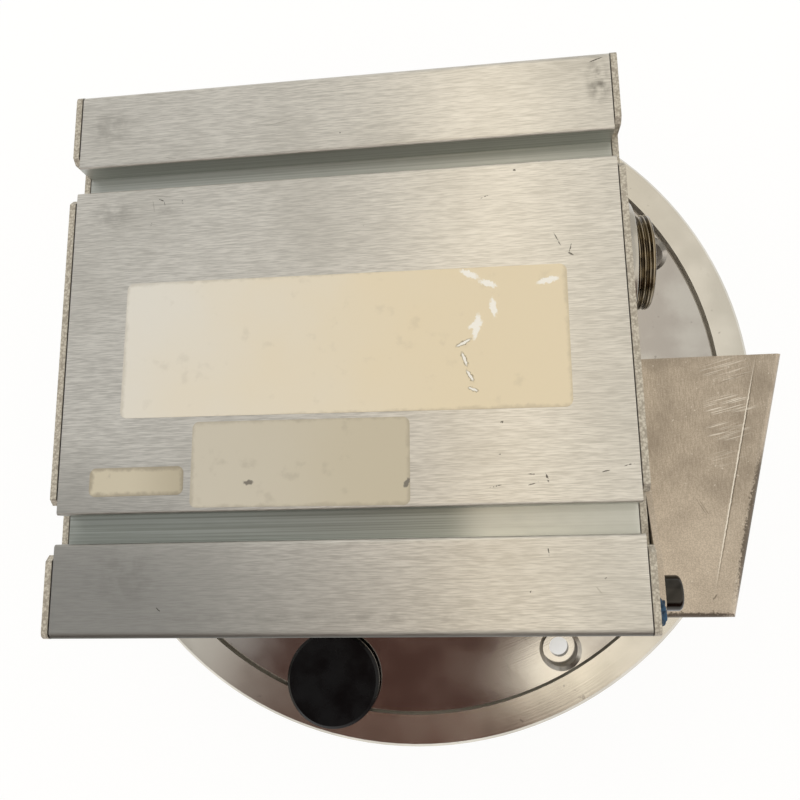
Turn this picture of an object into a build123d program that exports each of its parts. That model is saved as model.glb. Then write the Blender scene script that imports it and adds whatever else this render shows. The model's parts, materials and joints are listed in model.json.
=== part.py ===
from build123d import *
import os
from math import radians, sin, sqrt, tan

# Split-flow turbomolecular pump of the cartridge type, in millimetres.
# Origin: centre of the mounting flange's sealing face, on the rotor axis.
# +Z runs from the high-vacuum inlet towards the cover housing.

os.makedirs("parts", exist_ok=True)

# ---- Clearances ------------------------------------------------------------------------
SLIP = 0.05               # radial clearance of a spigot, screw or race in its seat
FACE_GAP = 0.3            # gap left between soft or curved pieces that nearly touch
BALL_CLEARANCE = 0.05     # ball to raceway
RUNNING_GAP = 1.0         # axial gap between a rotor disc and a stator disc
DRAG_GAP = 0.8            # radial gap between the drag rotor and its stator
AIR_GAP = 1.0             # motor magnet to laminations
TIP_GAP = 1.0             # blade tip to spacer ring
EDGE = 1.0                # chamfer of the plain turned edges
OVERCUT = 1.0             # how far a cutter runs past the solid that it cuts

# ---- Mounting flange -------------------------------------------------------------------
FLANGE_DIAMETER = 240.4
RIM_WIDTH = 10.8
RIM_HEIGHT = 2.5
FLANGE_THICKNESS = 11.5   # in the turned recess
RIM_CHAMFER = 1.0
BOLT_EDGE = 17.95         # bolt circle to the flange's edge
BOLT_COUNT = 8
BOLT_HOLE = 6.6
BOLT_ANGLE = 29.3
HEAD_RECESS = 11.6
HEAD_RECESS_DEPTH = 6.5
HEAD_RECESS_CHAMFER = 1.3
SEAL_MARGIN = 10.0        # casing flange to the centre line of the flange's O-ring
SEAL_CORD = 3.5
PLUG_PLACE = 5            # which bolt hole holds the moulded plug, counted from BOLT_ANGLE
PLUG_DIAMETER = 32.0
PLUG_THICKNESS = 2.0
PLUG_WALL = 1.5

# ---- Stator casing below the flange ----------------------------------------------------
CASING_BORE = 108.0
CASING_WALL = 11.0
CASING_FLANGE_EDGE = 7.0  # screw circle to the casing flange's edge
CASING_FLANGE_THICKNESS = 5.0
CASING_LIP = 2.0          # shoulder that carries the stator stack
LIP_OVERHANG = 2.5        # how far each shoulder reaches into the bore
WINDOW_WIDTH = 53.0
WINDOW_CORNER = 3.0
LOW_WINDOW_HEIGHT = 12.0
HIGH_WINDOW_HEIGHT = 10.0
DRAG_LENGTH = 28.0        # casing of the drag stage, below the sealing face
INLET_RING_THICKNESS = 8.0
INLET_OVERHANG = 3.5      # how far the inlet ring reaches into the bore
INLET_CHAMFER = 2.0
LAND_CORD = 3.2           # O-ring cord of the three lands
LAND_GROOVE_DEPTH = 2.2
ROD_DIAMETER = 5.0
ROD_HEAD_DIAMETER = 8.5
ROD_HEAD_HEIGHT = 5.0
ROD_GRIP = 8.0            # thread engaged in the drag casing

# ---- Stator stack ----------------------------------------------------------------------
GUARD_THICKNESS = 1.0
GUARD_WIRE = 1.2
GUARD_PITCH = 9.0
GUARD_SPOKES = 12
RING_WALL = 3.0
INNER_RING_WALL = 2.0
SPACER_HEIGHTS = [12.5, 9.0, 6.5, 6.0, 5.0]
STATOR_HEIGHTS = [6.0, 5.0, 4.0]
STATOR_BLADE_COUNTS = [24, 28, 32]
STATOR_ANGLES = [40.0, 35.0, 28.0]
STATOR_BLADE = 0.9
SPLIT_GAP = 0.3

# ---- Rotor -----------------------------------------------------------------------------
ROTOR_BLADE_COUNTS = [20, 24, 28, 32, 36]
ROTOR_ANGLES = [42.0, 38.0, 33.0, 28.0, 24.0]
ROTOR_BLADE = 1.2
HUB_DIAMETER = 52.0
NECK_SLEEVE_DIAMETER = 36.0
SHAFT_DIAMETER = 16.0
JOURNAL_DIAMETER = 12.0
COLLAR_DIAMETER = 22.0
COLLAR_THICKNESS = 2.0
BOLT_RECESS_DIAMETER = 24.0
BOLT_RECESS_DEPTH = 6.0
ROTOR_BOLT_DIAMETER = 6.0
ROTOR_BOLT_HEAD = 10.0
ROTOR_BOLT_LENGTH = 14.0
ROTOR_BOLT_FLANGE = 20.0
DRAG_STATOR_WALL = 13.0
DRAG_ROTOR_WALL = 2.2
DRAG_HUB_THICKNESS = 4.5
DRAG_ROTOR_LENGTH = 36.0

# ---- Motor and bearings ----------------------------------------------------------------
CARRIER_DIAMETER = 50.0
CARRIER_BORE = 42.0
CARRIER_FLANGE = 72.0
CARRIER_FLANGE_THICKNESS = 3.0
CARRIER_DEPTH = 20.0      # how far the carrier reaches below the sealing face
BEARING_OD = 28.0
BEARING_WIDTH = 8.0
BALL_DIAMETER = 4.8
BALL_COUNT = 7
RACE_GAP = 2.8
CAGE_WALL = 1.2
CAGE_WIDTH = 6.4
SEAT_LIP = 2.0
LIP_OVERLAP = 3.0
CORE_LENGTH = 24.0
CORE_BORE = 23.0
COIL_LENGTH = 5.5
COIL_WALL = 1.4
SPRING_THICKNESS = 1.5
SPRING_WIDTH = 2.5
COVER_THICKNESS = 5.0
COVER_RECESS = 2.0        # hollow of the bearing cover over the race, and its lip on it
SHAFT_NUT_DIAMETER = 18.0
SHAFT_NUT_THICKNESS = 2.5

# ---- Motor housing above the flange ----------------------------------------------------
NECK_HEIGHT = 35.5
NECK_WALL = 9.0
WEB_THICKNESS = 5.0
FOOT_WIDTH = 16.0         # neck to the foot's edge, with the screws halfway
FOOT_SCREW_MARGIN = 2.0   # casing wall to the centre of a foot screw
FOOT_THICKNESS = 6.0
FOOT_SCREW_COUNT = 6
FOOT_SCREW_ANGLE = 30.0
PORT_AXIS_HEIGHT = 18.5   # above the flange's turned face
PORT_BORE = 16.0
PORT_TUBE = 20.0
PORT_FLANGE = 30.0
PORT_LIP = 3.0
PORT_REACH = 108.0        # from the rotor axis to the port's face

# ---- Cover housing ---------------------------------------------------------------------
COVER_LENGTH = 140.4
COVER_WIDTH = 143.0
COVER_DEPTH = 56.0
COVER_OFFSET_X = -7.8
COVER_OFFSET_Y = -2.75
COVER_FACE_WALL = 4.0
COVER_SIDE_WALL = 3.5
COVER_EDGE_RADIUS = 1.8
GROOVE_WIDTH = 7.0
GROOVE_DEPTH = 6.5
UPPER_GROOVE = 46.4       # centre line of each groove, from the cover's own
LOWER_GROOVE = -45.7
GROOVE_LIP_RADIUS = 0.8
LIP_WIDTH = 11.0
LIP_THICKNESS = 5.0
CHANNEL_WALL = 2.4
CHANNEL_EDGE = 8.9        # side of the cover to the screw channels' centre line
CHANNEL_DEPTH = 6.3       # front face to the screw channels' centre line
BASE_THICKNESS = 4.0
BASE_OPENING = 74.0
END_PLATE = 1.7
PLATE_GAP = 0.15
PLATE_PROUD = 0.2         # how far the plates' tabs stand past the front face
UPPER_NOTCH_MARGIN = 1.7  # notch in the end plate, past each side of its groove
LOWER_NOTCH_MARGIN = 2.5
NOTCH_CHAMFER = 1.5

# ---- Screws ----------------------------------------------------------------------------
SCREW_DIAMETER = 5.0
SCREW_HEAD = 8.5
COUNTERSUNK_HEAD = 8.6
SCREW_LENGTH = 14.0
BASE_SCREW_LENGTH = 8.0
FOOT_SCREW_LENGTH = 16.0
COVER_SCREW_LENGTH = 10.0

# ---- Supply connector ------------------------------------------------------------------
CONNECTOR_THREAD = 26.0
CONNECTOR_BORE = 21.6
CONNECTOR_REACH = 9.8
CONNECTOR_TAIL = 9.0
CONNECTOR_COLLAR = 34.0
CONNECTOR_COLLAR_THICKNESS = 4.4
CONNECTOR_Y = 25.4        # from the cover's centre line
CONNECTOR_DEPTH = 30.0    # from the front face
PIN_COUNT = 7
PIN_DIAMETER = 1.6
PIN_CIRCLE = 13.0
PIN_LENGTH = 4.0
INSERT_THICKNESS = 7.0

# ---- Bracket ---------------------------------------------------------------------------
SHEET = 1.4
BEND_RADIUS = 0.4         # inside radius of each fold
BRACKET_DEPTH = 20.0      # front face to the panel
BRACKET_TOP = 66.95       # panel edges, measured up from the cover's lower side
BRACKET_BOTTOM = 2.05
BRACKET_TOP_REACH = 39.2  # panel width at its top edge, from the end plate
BRACKET_BOTTOM_REACH = 21.8
FLANGE_DROP = 12.0
TAB_DEPTH = 2.0           # front face to the tab's end
TAB_TOP = 14.45           # slanted edge of the tab, from here at the front
TAB_ROOT = 63.45          # to here at the panel
TAB_END = 5.25
TAB_CORNER = 1.8
TAB_GAP = 0.4
BRACKET_HEAD = 8.0        # the bracket's cap screw, with its low rounded head
BRACKET_HEAD_HEIGHT = 4.2
BRACKET_HEAD_EDGE = 1.0

# ---- Heights and circles worked out from the sizes above -------------------------------
z_floor = FLANGE_THICKNESS
z_rim = z_floor + RIM_HEIGHT
z_web_top = z_floor + NECK_HEIGHT - CARRIER_FLANGE_THICKNESS
z_neck_top = z_floor + NECK_HEIGHT
z_cover_rear = z_neck_top + BASE_THICKNESS
z_face = z_cover_rear + COVER_DEPTH
z_drag_bottom = -DRAG_LENGTH
z_high_lip = z_drag_bottom - HIGH_WINDOW_HEIGHT
z_stage_top = z_high_lip - CASING_LIP
z_spacer_5 = z_stage_top - SPACER_HEIGHTS[4]
z_stator_3 = z_spacer_5 - STATOR_HEIGHTS[2]
z_spacer_4 = z_stator_3 - SPACER_HEIGHTS[3]
z_low_lip = z_spacer_4 - LOW_WINDOW_HEIGHT
z_inlet_top = z_low_lip - CASING_LIP
z_spacer_3 = z_inlet_top - SPACER_HEIGHTS[2]
z_stator_2 = z_spacer_3 - STATOR_HEIGHTS[1]
z_spacer_2 = z_stator_2 - SPACER_HEIGHTS[1]
z_stator_1 = z_spacer_2 - STATOR_HEIGHTS[0]
z_spacer_1 = z_stator_1 - SPACER_HEIGHTS[0]
z_guard = z_spacer_1 - GUARD_THICKNESS
z_inlet = z_guard - INLET_RING_THICKNESS
spacer_floors = [z_spacer_1, z_spacer_2, z_spacer_3, z_spacer_4, z_spacer_5]
stator_floors = [z_stator_1, z_stator_2, z_stator_3]
z_hub_bottom = z_spacer_1 + RUNNING_GAP
z_collar = -CARRIER_DEPTH - FACE_GAP - COLLAR_THICKNESS
z_drag_hub = z_collar - DRAG_HUB_THICKNESS
z_lower_bearing = -CARRIER_DEPTH + SEAT_LIP + SEAT_LIP
z_upper_bearing = z_neck_top - SPRING_THICKNESS - BEARING_WIDTH
z_core = (z_lower_bearing + BEARING_WIDTH + z_upper_bearing - CORE_LENGTH) / 2
z_port = z_floor + PORT_AXIS_HEIGHT
cover_center = (COVER_OFFSET_X, COVER_OFFSET_Y)
x_right_plate = COVER_OFFSET_X + COVER_LENGTH / 2 + PLATE_GAP
x_left_plate = COVER_OFFSET_X - COVER_LENGTH / 2 - PLATE_GAP
x_plate_outer = x_right_plate + END_PLATE
rod_start = 45.0
casing_diameter = CASING_BORE + 2 * CASING_WALL
lip_bore = CASING_BORE - 2 * LIP_OVERHANG
inlet_bore = CASING_BORE - 2 * INLET_OVERHANG
drag_rotor_diameter = CASING_BORE - 2 * (DRAG_STATOR_WALL + DRAG_GAP)
rod_circle = (casing_diameter + CASING_BORE) / 2
foot_screw_circle = casing_diameter + 2 * FOOT_SCREW_MARGIN
foot_diameter = foot_screw_circle + FOOT_WIDTH
neck_diameter = foot_screw_circle - FOOT_WIDTH
neck_bore = neck_diameter - 2 * NECK_WALL
neck_screw_circle = neck_diameter - NECK_WALL
casing_flange = foot_screw_circle + 2 * CASING_FLANGE_EDGE
seal_radius = casing_flange / 2 + SEAL_MARGIN
bolt_circle = FLANGE_DIAMETER - 2 * BOLT_EDGE
land_heights = [
    (z_inlet_top + z_stator_1) / 2,
    (z_stage_top + z_spacer_4) / 2,
    z_drag_bottom + 2 * LAND_CORD,
]


# ---- Helpers ---------------------------------------------------------------------------
def turned(*outline):
    """Solid of revolution about Z from its closed (radius, height) outline."""
    profile = make_face(Polyline(*[(r, 0, z) for r, z in outline], close=True))
    return revolve(profile, Axis.Z)


def ring(outer, inner, bottom, height):
    """Plain turned ring, from its two diameters."""
    return turned(
        (inner / 2, bottom),
        (outer / 2, bottom),
        (outer / 2, bottom + height),
        (inner / 2, bottom + height),
    )


def rod(diameter, bottom, height):
    """Cylinder on the Z axis standing on a given height."""
    base = Plane.XY.offset(bottom) * Circle(diameter / 2)
    return extrude(base, height)


def around(piece, circle, count, start=0.0):
    """Copies of a piece at equal angles on a circle, each turned with its place."""
    return [place * piece for place in PolarLocations(circle / 2, count, start)]


def torus_ring(center_radius, cord, height):
    """O-ring lying flat at a height."""
    return Pos(0, 0, height) * Torus(center_radius, cord / 2)


def save(piece, name):
    """Writes one sub-part as a STEP file named after it."""
    piece.label = name
    export_step(piece, f"parts/{name}.step")


def save_group(pieces, name):
    """Writes several separate solids as one sub-part."""
    solids = [solid for piece in pieces for solid in piece.solids()]
    save(Compound(label=name, children=solids), name)


def cap_screw(diameter, length, head, head_height, edge=0.6):
    """Socket head cap screw: head upwards from height 0 with a round edge, shank below it."""
    body = turned(
        (0, -length),
        (diameter / 2, -length),
        (diameter / 2, 0),
        (head / 2, 0),
        (head / 2, head_height),
        (0, head_height),
    )
    rim = body.edges().filter_by(GeomType.CIRCLE).group_by(Axis.Z)[-1]
    body = fillet(rim, edge)
    socket = Plane.XY.offset(head_height / 2) * RegularPolygon(diameter / 2, 6)
    return body - extrude(socket, head_height)


def countersunk_screw(diameter, length, head):
    """Countersunk screw with its flat head flush at height 0."""
    cone = (head - diameter) / 2
    body = turned(
        (0, -length),
        (diameter / 2, -length),
        (diameter / 2, -cone),
        (head / 2, 0),
        (0, 0),
    )
    socket = Plane.XY.offset(-cone) * RegularPolygon(diameter / 3, 6)
    return body - extrude(socket, 2 * cone)


# ---- Mounting flange, its seal and the plug --------------------------------------------
def bolt_places():
    return PolarLocations(bolt_circle / 2, BOLT_COUNT, BOLT_ANGLE)


def make_mounting_flange():
    outer = FLANGE_DIAMETER / 2
    groove_half = SEAL_CORD * 0.65
    groove_top = SEAL_CORD * 0.8
    body = turned(
        (neck_bore / 2, CASING_FLANGE_THICKNESS),
        (neck_bore / 2, z_floor),
        (outer - RIM_WIDTH, z_floor),
        (outer - RIM_WIDTH + RIM_HEIGHT / 5, z_rim),
        (outer - RIM_CHAMFER, z_rim),
        (outer, z_rim - RIM_CHAMFER),
        (outer, RIM_CHAMFER),
        (outer - RIM_CHAMFER, 0),
        (seal_radius + groove_half, 0),
        (seal_radius + groove_half, groove_top),
        (seal_radius - groove_half, groove_top),
        (seal_radius - groove_half, 0),
        (casing_flange / 2 + SLIP, 0),
        (casing_flange / 2 + SLIP, CASING_FLANGE_THICKNESS),
    )
    recess_floor = z_floor - HEAD_RECESS_DEPTH
    seat = turned(
        (0, -OVERCUT),
        (BOLT_HOLE / 2, -OVERCUT),
        (BOLT_HOLE / 2, recess_floor),
        (HEAD_RECESS / 2, recess_floor),
        (HEAD_RECESS / 2, z_floor - HEAD_RECESS_CHAMFER),
        (HEAD_RECESS / 2 + HEAD_RECESS_CHAMFER, z_floor),
        (HEAD_RECESS / 2 + HEAD_RECESS_CHAMFER, z_rim + OVERCUT),
        (0, z_rim + OVERCUT),
    )
    body -= [place * seat for place in bolt_places()]
    hole = rod(SCREW_DIAMETER + 2 * SLIP, 0, z_rim)
    return body - around(hole, foot_screw_circle, FOOT_SCREW_COUNT, FOOT_SCREW_ANGLE)


def make_hole_plug():
    """Moulded plug: a flat cap over a short clip-in spigot."""
    spigot = HEAD_RECESS / 2 - SLIP
    rim = PLUG_DIAMETER / 2
    under = z_rim + SLIP
    body = turned(
        (0, under),
        (spigot - PLUG_WALL, under),
        (spigot - PLUG_WALL, z_floor - HEAD_RECESS_DEPTH + FACE_GAP),
        (spigot, z_floor - HEAD_RECESS_DEPTH + FACE_GAP),
        (spigot, under),
        (rim, under),
        (rim, under + PLUG_THICKNESS / 2),
        (rim - PLUG_THICKNESS / 2, under + PLUG_THICKNESS),
        (0, under + PLUG_THICKNESS),
    )
    place = list(bolt_places())[PLUG_PLACE]
    return place * body


# ---- Stator casing ---------------------------------------------------------------------
def window_cut(bottom, height):
    """Two crossed slots that open four windows between four legs."""
    slot = Box(casing_flange, WINDOW_WIDTH, height + WINDOW_CORNER)
    slot = fillet(slot.edges().filter_by(Axis.X), WINDOW_CORNER)
    slot = Pos(0, 0, bottom + (height + WINDOW_CORNER) / 2) * slot
    return [slot, Rot(0, 0, 90) * slot]


def land_groove(height):
    """Groove cutter for the O-ring of one land."""
    half = LAND_CORD * 0.65
    radius = casing_diameter / 2
    return ring(2 * (radius + OVERCUT), 2 * (radius - LAND_GROOVE_DEPTH), height - half, 2 * half)


def rod_holes(bottom, height):
    hole = rod(ROD_DIAMETER + 2 * SLIP, bottom, height)
    return around(hole, rod_circle, 4, rod_start)


def make_drag_casing():
    outer = casing_diameter / 2
    body = turned(
        (lip_bore / 2, z_drag_bottom),
        (outer, z_drag_bottom),
        (outer, 0),
        (casing_flange / 2, 0),
        (casing_flange / 2, CASING_FLANGE_THICKNESS),
        (CASING_BORE / 2, CASING_FLANGE_THICKNESS),
        (CASING_BORE / 2, z_drag_bottom + CASING_LIP),
        (lip_bore / 2, z_drag_bottom + CASING_LIP),
    )
    body -= land_groove(land_heights[2])
    body -= rod_holes(z_drag_bottom, ROD_GRIP)
    hole = rod(SCREW_DIAMETER + 2 * SLIP, 0, CASING_FLANGE_THICKNESS)
    return body - around(hole, foot_screw_circle, FOOT_SCREW_COUNT, FOOT_SCREW_ANGLE)


def make_legged_casing(bottom, lip, top, land):
    """Turned casing with a shoulder inside, and legs between windows at its top."""
    outer = casing_diameter / 2
    body = turned(
        (CASING_BORE / 2 + SLIP, bottom),
        (outer, bottom),
        (outer, top),
        (lip_bore / 2, top),
        (lip_bore / 2, lip - CASING_LIP),
        (CASING_BORE / 2 + SLIP, lip - CASING_LIP),
    )
    body -= window_cut(lip, top - lip)
    body -= land_groove(land)
    return body - rod_holes(bottom, top - bottom)


def make_inlet_ring():
    outer = casing_diameter / 2
    body = turned(
        (inlet_bore / 2 + INLET_CHAMFER, z_inlet),
        (outer - INLET_CHAMFER, z_inlet),
        (outer, z_inlet + INLET_CHAMFER),
        (outer, z_guard + GUARD_THICKNESS),
        (CASING_BORE / 2 + SLIP, z_guard + GUARD_THICKNESS),
        (CASING_BORE / 2 + SLIP, z_guard),
        (inlet_bore / 2, z_guard),
        (inlet_bore / 2, z_inlet + INLET_CHAMFER),
    )
    head = rod(ROD_HEAD_DIAMETER + 4 * SLIP, z_inlet, ROD_HEAD_HEIGHT + FACE_GAP)
    body -= around(head, rod_circle, 4, rod_start)
    return body - rod_holes(z_inlet, INLET_RING_THICKNESS + GUARD_THICKNESS)


def make_tie_rods():
    seat = z_inlet + ROD_HEAD_HEIGHT + FACE_GAP
    length = z_drag_bottom + ROD_GRIP - FACE_GAP - seat
    screw = cap_screw(ROD_DIAMETER, length, ROD_HEAD_DIAMETER, ROD_HEAD_HEIGHT)
    screw = Pos(0, 0, seat) * Rot(180, 0, 0) * screw
    return around(screw, rod_circle, 4, rod_start)


def make_casing_seals():
    radius = casing_diameter / 2 - LAND_GROOVE_DEPTH + LAND_CORD / 2 + SLIP
    return [torus_ring(radius, LAND_CORD, height) for height in land_heights]


# ---- Inlet guard, spacer rings and stator discs ----------------------------------------
def make_splinter_guard():
    """Stamped screen: an outer ring, concentric wires and radial wires."""
    outer = CASING_BORE / 2
    screen = Circle(outer) - Circle(inlet_bore / 2 - GUARD_WIRE)
    wires = int((inlet_bore / 2 - GUARD_PITCH / 2) / GUARD_PITCH)
    for step in range(1, wires + 1):
        radius = step * GUARD_PITCH
        screen += Circle(radius + GUARD_WIRE / 2) - Circle(radius - GUARD_WIRE / 2)
    reach = inlet_bore / 2 - GUARD_PITCH
    spoke = Rectangle(reach, GUARD_WIRE)
    spokes = PolarLocations(GUARD_PITCH + reach / 2, GUARD_SPOKES)
    screen += [place * spoke for place in spokes]
    screen += Rectangle(2 * GUARD_PITCH, GUARD_WIRE)
    screen += Rectangle(GUARD_WIRE, 2 * GUARD_PITCH)
    return extrude(Pos(0, 0, z_guard) * screen, GUARD_THICKNESS)


def make_spacer_ring(index):
    return ring(CASING_BORE, CASING_BORE - 2 * RING_WALL, spacer_floors[index], SPACER_HEIGHTS[index])


def blade(root, reach, height, angle, thickness):
    """Flat blade along +X, standing on height 0 and leaning sideways by its angle."""
    lean = height / tan(radians(angle)) / 2
    across = thickness / sin(radians(angle)) / 2
    section = Polyline(
        (-lean - across, 0),
        (-lean + across, 0),
        (lean + across, height),
        (lean - across, height),
        close=True,
    )
    side = lean + across
    tip = sqrt(reach**2 - side**2)
    return extrude(Plane.YZ.offset(root) * make_face(section), tip - root)


def make_stator_disc(index):
    """Bladed disc in two halves, held at its outer ring between two spacer rings."""
    floor = stator_floors[index]
    height = STATOR_HEIGHTS[index]
    outer = CASING_BORE / 2
    inner = HUB_DIAMETER / 2 + TIP_GAP
    rim = ring(2 * outer, 2 * (outer - RING_WALL), floor, height)
    hub = ring(2 * (inner + INNER_RING_WALL), 2 * inner, floor, height)
    root = inner + INNER_RING_WALL / 2
    reach = outer - RING_WALL / 2
    margin = RUNNING_GAP / 2
    vane = blade(root, reach, height - 2 * margin, 180 - STATOR_ANGLES[index], STATOR_BLADE)
    vane = Pos(0, 0, floor + margin) * vane
    count = STATOR_BLADE_COUNTS[index]
    turn = 360 / count
    vanes = [Rot(0, 0, turn * (step + 0.5)) * vane for step in range(count)]
    disc = rim + hub + vanes
    return disc - Pos(0, 0, floor + height / 2) * Box(4 * outer, SPLIT_GAP, 2 * height)


# ---- Drag stage ------------------------------------------------------------------------
def make_drag_stator():
    outer = CASING_BORE / 2 - SLIP
    inner = drag_rotor_diameter / 2 + DRAG_GAP
    lead = CASING_LIP + RING_WALL
    bottom = z_drag_bottom + CASING_LIP
    return turned(
        (inner + lead, bottom),
        (outer, bottom),
        (outer, CASING_FLANGE_THICKNESS - SLIP),
        (inner, CASING_FLANGE_THICKNESS - SLIP),
        (inner, bottom + lead),
    )


def make_drag_rotor():
    """Cup that opens upwards around the bearing carrier."""
    outer = drag_rotor_diameter / 2
    bore = SHAFT_DIAMETER / 2 + SLIP
    floor = z_drag_hub + DRAG_HUB_THICKNESS
    top = z_drag_hub + DRAG_ROTOR_LENGTH
    return turned(
        (bore, z_drag_hub),
        (outer - DRAG_HUB_THICKNESS / 2, z_drag_hub),
        (outer, z_drag_hub + DRAG_HUB_THICKNESS / 2),
        (outer, top),
        (outer - DRAG_ROTOR_WALL, top),
        (outer - DRAG_ROTOR_WALL, floor),
        (bore, floor),
    )


# ---- Rotor discs, sleeves and shaft ----------------------------------------------------
def hub_span(index):
    """Bottom and top of a rotor disc's hub: hubs meet face to face."""
    bottoms = [
        z_hub_bottom,
        z_stator_1 + STATOR_HEIGHTS[0] / 2,
        z_stator_2 + STATOR_HEIGHTS[1] / 2,
        z_spacer_4 + RUNNING_GAP / 2,
        z_stator_3 + STATOR_HEIGHTS[2] / 2,
    ]
    tops = [bottoms[1], bottoms[2], z_inlet_top, bottoms[4], z_stage_top]
    return bottoms[index], tops[index]


def make_rotor_disc(index):
    """Hub with flat milled blades that lean against the stator's."""
    bottom, top = hub_span(index)
    bore = SHAFT_DIAMETER + 2 * SLIP
    hub = ring(HUB_DIAMETER, bore, bottom, top - bottom)
    height = SPACER_HEIGHTS[index] - 2 * RUNNING_GAP
    root = 0.86 * HUB_DIAMETER / 2
    reach = CASING_BORE / 2 - RING_WALL - TIP_GAP
    vane = blade(root, reach, height, ROTOR_ANGLES[index], ROTOR_BLADE)
    vane = Pos(0, 0, spacer_floors[index] + RUNNING_GAP) * vane
    disc = hub + around(vane, 0, ROTOR_BLADE_COUNTS[index])
    if index == 0:
        recess = rod(BOLT_RECESS_DIAMETER, bottom - OVERCUT, BOLT_RECESS_DEPTH + OVERCUT)
        disc -= recess
    return disc


def make_sleeve(bottom, top):
    return ring(NECK_SLEEVE_DIAMETER, SHAFT_DIAMETER + 2 * SLIP, bottom, top - bottom)


z_shaft_end = z_hub_bottom + BOLT_RECESS_DEPTH + FACE_GAP
z_journal = z_lower_bearing
z_shaft_top = z_upper_bearing + BEARING_WIDTH + SHAFT_NUT_THICKNESS


def make_shaft():
    big = SHAFT_DIAMETER / 2
    small = JOURNAL_DIAMETER / 2
    collar = COLLAR_DIAMETER / 2
    body = turned(
        (0, z_shaft_end),
        (big, z_shaft_end),
        (big, z_collar),
        (collar, z_collar),
        (collar, z_collar + COLLAR_THICKNESS),
        (big, z_collar + COLLAR_THICKNESS),
        (big, z_journal),
        (small, z_journal),
        (small, z_shaft_top),
        (0, z_shaft_top),
    )
    thread = rod(ROTOR_BOLT_DIAMETER + 2 * SLIP, z_shaft_end, ROTOR_BOLT_LENGTH)
    return body - thread


def make_rotor_bolt():
    """Flanged cap screw in the recess of the first rotor disc."""
    seat = z_hub_bottom + BOLT_RECESS_DEPTH
    washer = 1.2
    screw = cap_screw(ROTOR_BOLT_DIAMETER, ROTOR_BOLT_LENGTH, ROTOR_BOLT_HEAD, BOLT_RECESS_DEPTH - washer)
    screw = Pos(0, 0, seat - washer) * Rot(180, 0, 0) * screw
    return screw + rod(ROTOR_BOLT_FLANGE, seat - washer, washer)


# ---- Bearing carrier and bearings ------------------------------------------------------
def make_bearing_carrier():
    tube = CARRIER_DIAMETER / 2
    bore = CARRIER_BORE / 2
    seat = BEARING_OD / 2 + SLIP
    flange = CARRIER_FLANGE / 2
    shoulder = z_upper_bearing - SEAT_LIP
    body = turned(
        (bore, -CARRIER_DEPTH),
        (tube, -CARRIER_DEPTH),
        (tube, z_web_top),
        (flange, z_web_top),
        (flange, z_neck_top),
        (seat, z_neck_top),
        (seat, z_upper_bearing),
        (seat - LIP_OVERLAP, z_upper_bearing),
        (seat - LIP_OVERLAP, shoulder),
        (bore, shoulder),
    )
    return body - carrier_screw_holes(z_web_top, CARRIER_FLANGE_THICKNESS)


carrier_screw_circle = CARRIER_FLANGE - SCREW_HEAD - 2 * EDGE


def carrier_screw_holes(bottom, height):
    hole = rod(SCREW_DIAMETER + 2 * SLIP, bottom, height)
    return around(hole, carrier_screw_circle, 4, rod_start)


def make_lower_bearing_seat():
    outer = CARRIER_BORE / 2 - SLIP
    seat = BEARING_OD / 2 + SLIP
    lip = -CARRIER_DEPTH + 2 * SEAT_LIP
    return turned(
        (seat - LIP_OVERLAP, -CARRIER_DEPTH + SEAT_LIP),
        (outer, -CARRIER_DEPTH + SEAT_LIP),
        (outer, z_lower_bearing + BEARING_WIDTH),
        (seat, z_lower_bearing + BEARING_WIDTH),
        (seat, lip),
        (seat - LIP_OVERLAP, lip),
    )


pitch_diameter = (BEARING_OD + JOURNAL_DIAMETER) / 2


def raceway(height):
    """Torus that the balls run in, larger than a ball by the clearance."""
    return torus_ring(pitch_diameter / 2, BALL_DIAMETER + 2 * BALL_CLEARANCE, height)


def make_outer_race(bottom):
    inner = pitch_diameter + RACE_GAP
    return ring(BEARING_OD, inner, bottom, BEARING_WIDTH) - raceway(bottom + BEARING_WIDTH / 2)


def make_inner_race(bottom):
    outer = pitch_diameter - RACE_GAP
    bore = JOURNAL_DIAMETER + 2 * SLIP
    return ring(outer, bore, bottom, BEARING_WIDTH) - raceway(bottom + BEARING_WIDTH / 2)


def make_balls(bottom):
    ball = Pos(0, 0, bottom + BEARING_WIDTH / 2) * Sphere(BALL_DIAMETER / 2)
    return around(ball, pitch_diameter, BALL_COUNT)


def make_cage(bottom):
    """Ring between the races with one round pocket for each ball."""
    middle = bottom + BEARING_WIDTH / 2
    outer = pitch_diameter + CAGE_WALL
    body = ring(outer, pitch_diameter - CAGE_WALL, middle - CAGE_WIDTH / 2, CAGE_WIDTH)
    pocket = Plane.YZ * Circle(BALL_DIAMETER / 2 + 2 * BALL_CLEARANCE)
    cutter = Pos(0, 0, middle) * extrude(pocket, outer)
    return body - around(cutter, 0, BALL_COUNT)


# ---- Motor -----------------------------------------------------------------------------
def make_laminations():
    outer = CARRIER_BORE - 2 * SLIP
    return ring(outer, CORE_BORE, z_core, CORE_LENGTH)


def make_windings():
    """Two wound end coils, rounded by their chamfers."""
    inner = CORE_BORE / 2 + COIL_WALL
    outer = CARRIER_BORE / 2 - COIL_WALL
    soft = COIL_LENGTH / 3
    coil = turned(
        (inner, 0),
        (outer, 0),
        (outer, COIL_LENGTH - soft),
        (outer - soft, COIL_LENGTH),
        (inner + soft, COIL_LENGTH),
        (inner, COIL_LENGTH - soft),
    )
    upper = Pos(0, 0, z_core + CORE_LENGTH) * coil
    lower = Pos(0, 0, z_core) * Rot(180, 0, 0) * coil
    return [upper, lower]


def make_magnet():
    outer = CORE_BORE - 2 * AIR_GAP
    return ring(outer, JOURNAL_DIAMETER + 2 * SLIP, z_core, CORE_LENGTH)


def make_preload_spring():
    outer = BEARING_OD - 2 * SLIP
    return ring(outer, outer - 2 * SPRING_WIDTH, z_upper_bearing + BEARING_WIDTH, SPRING_THICKNESS)


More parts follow.
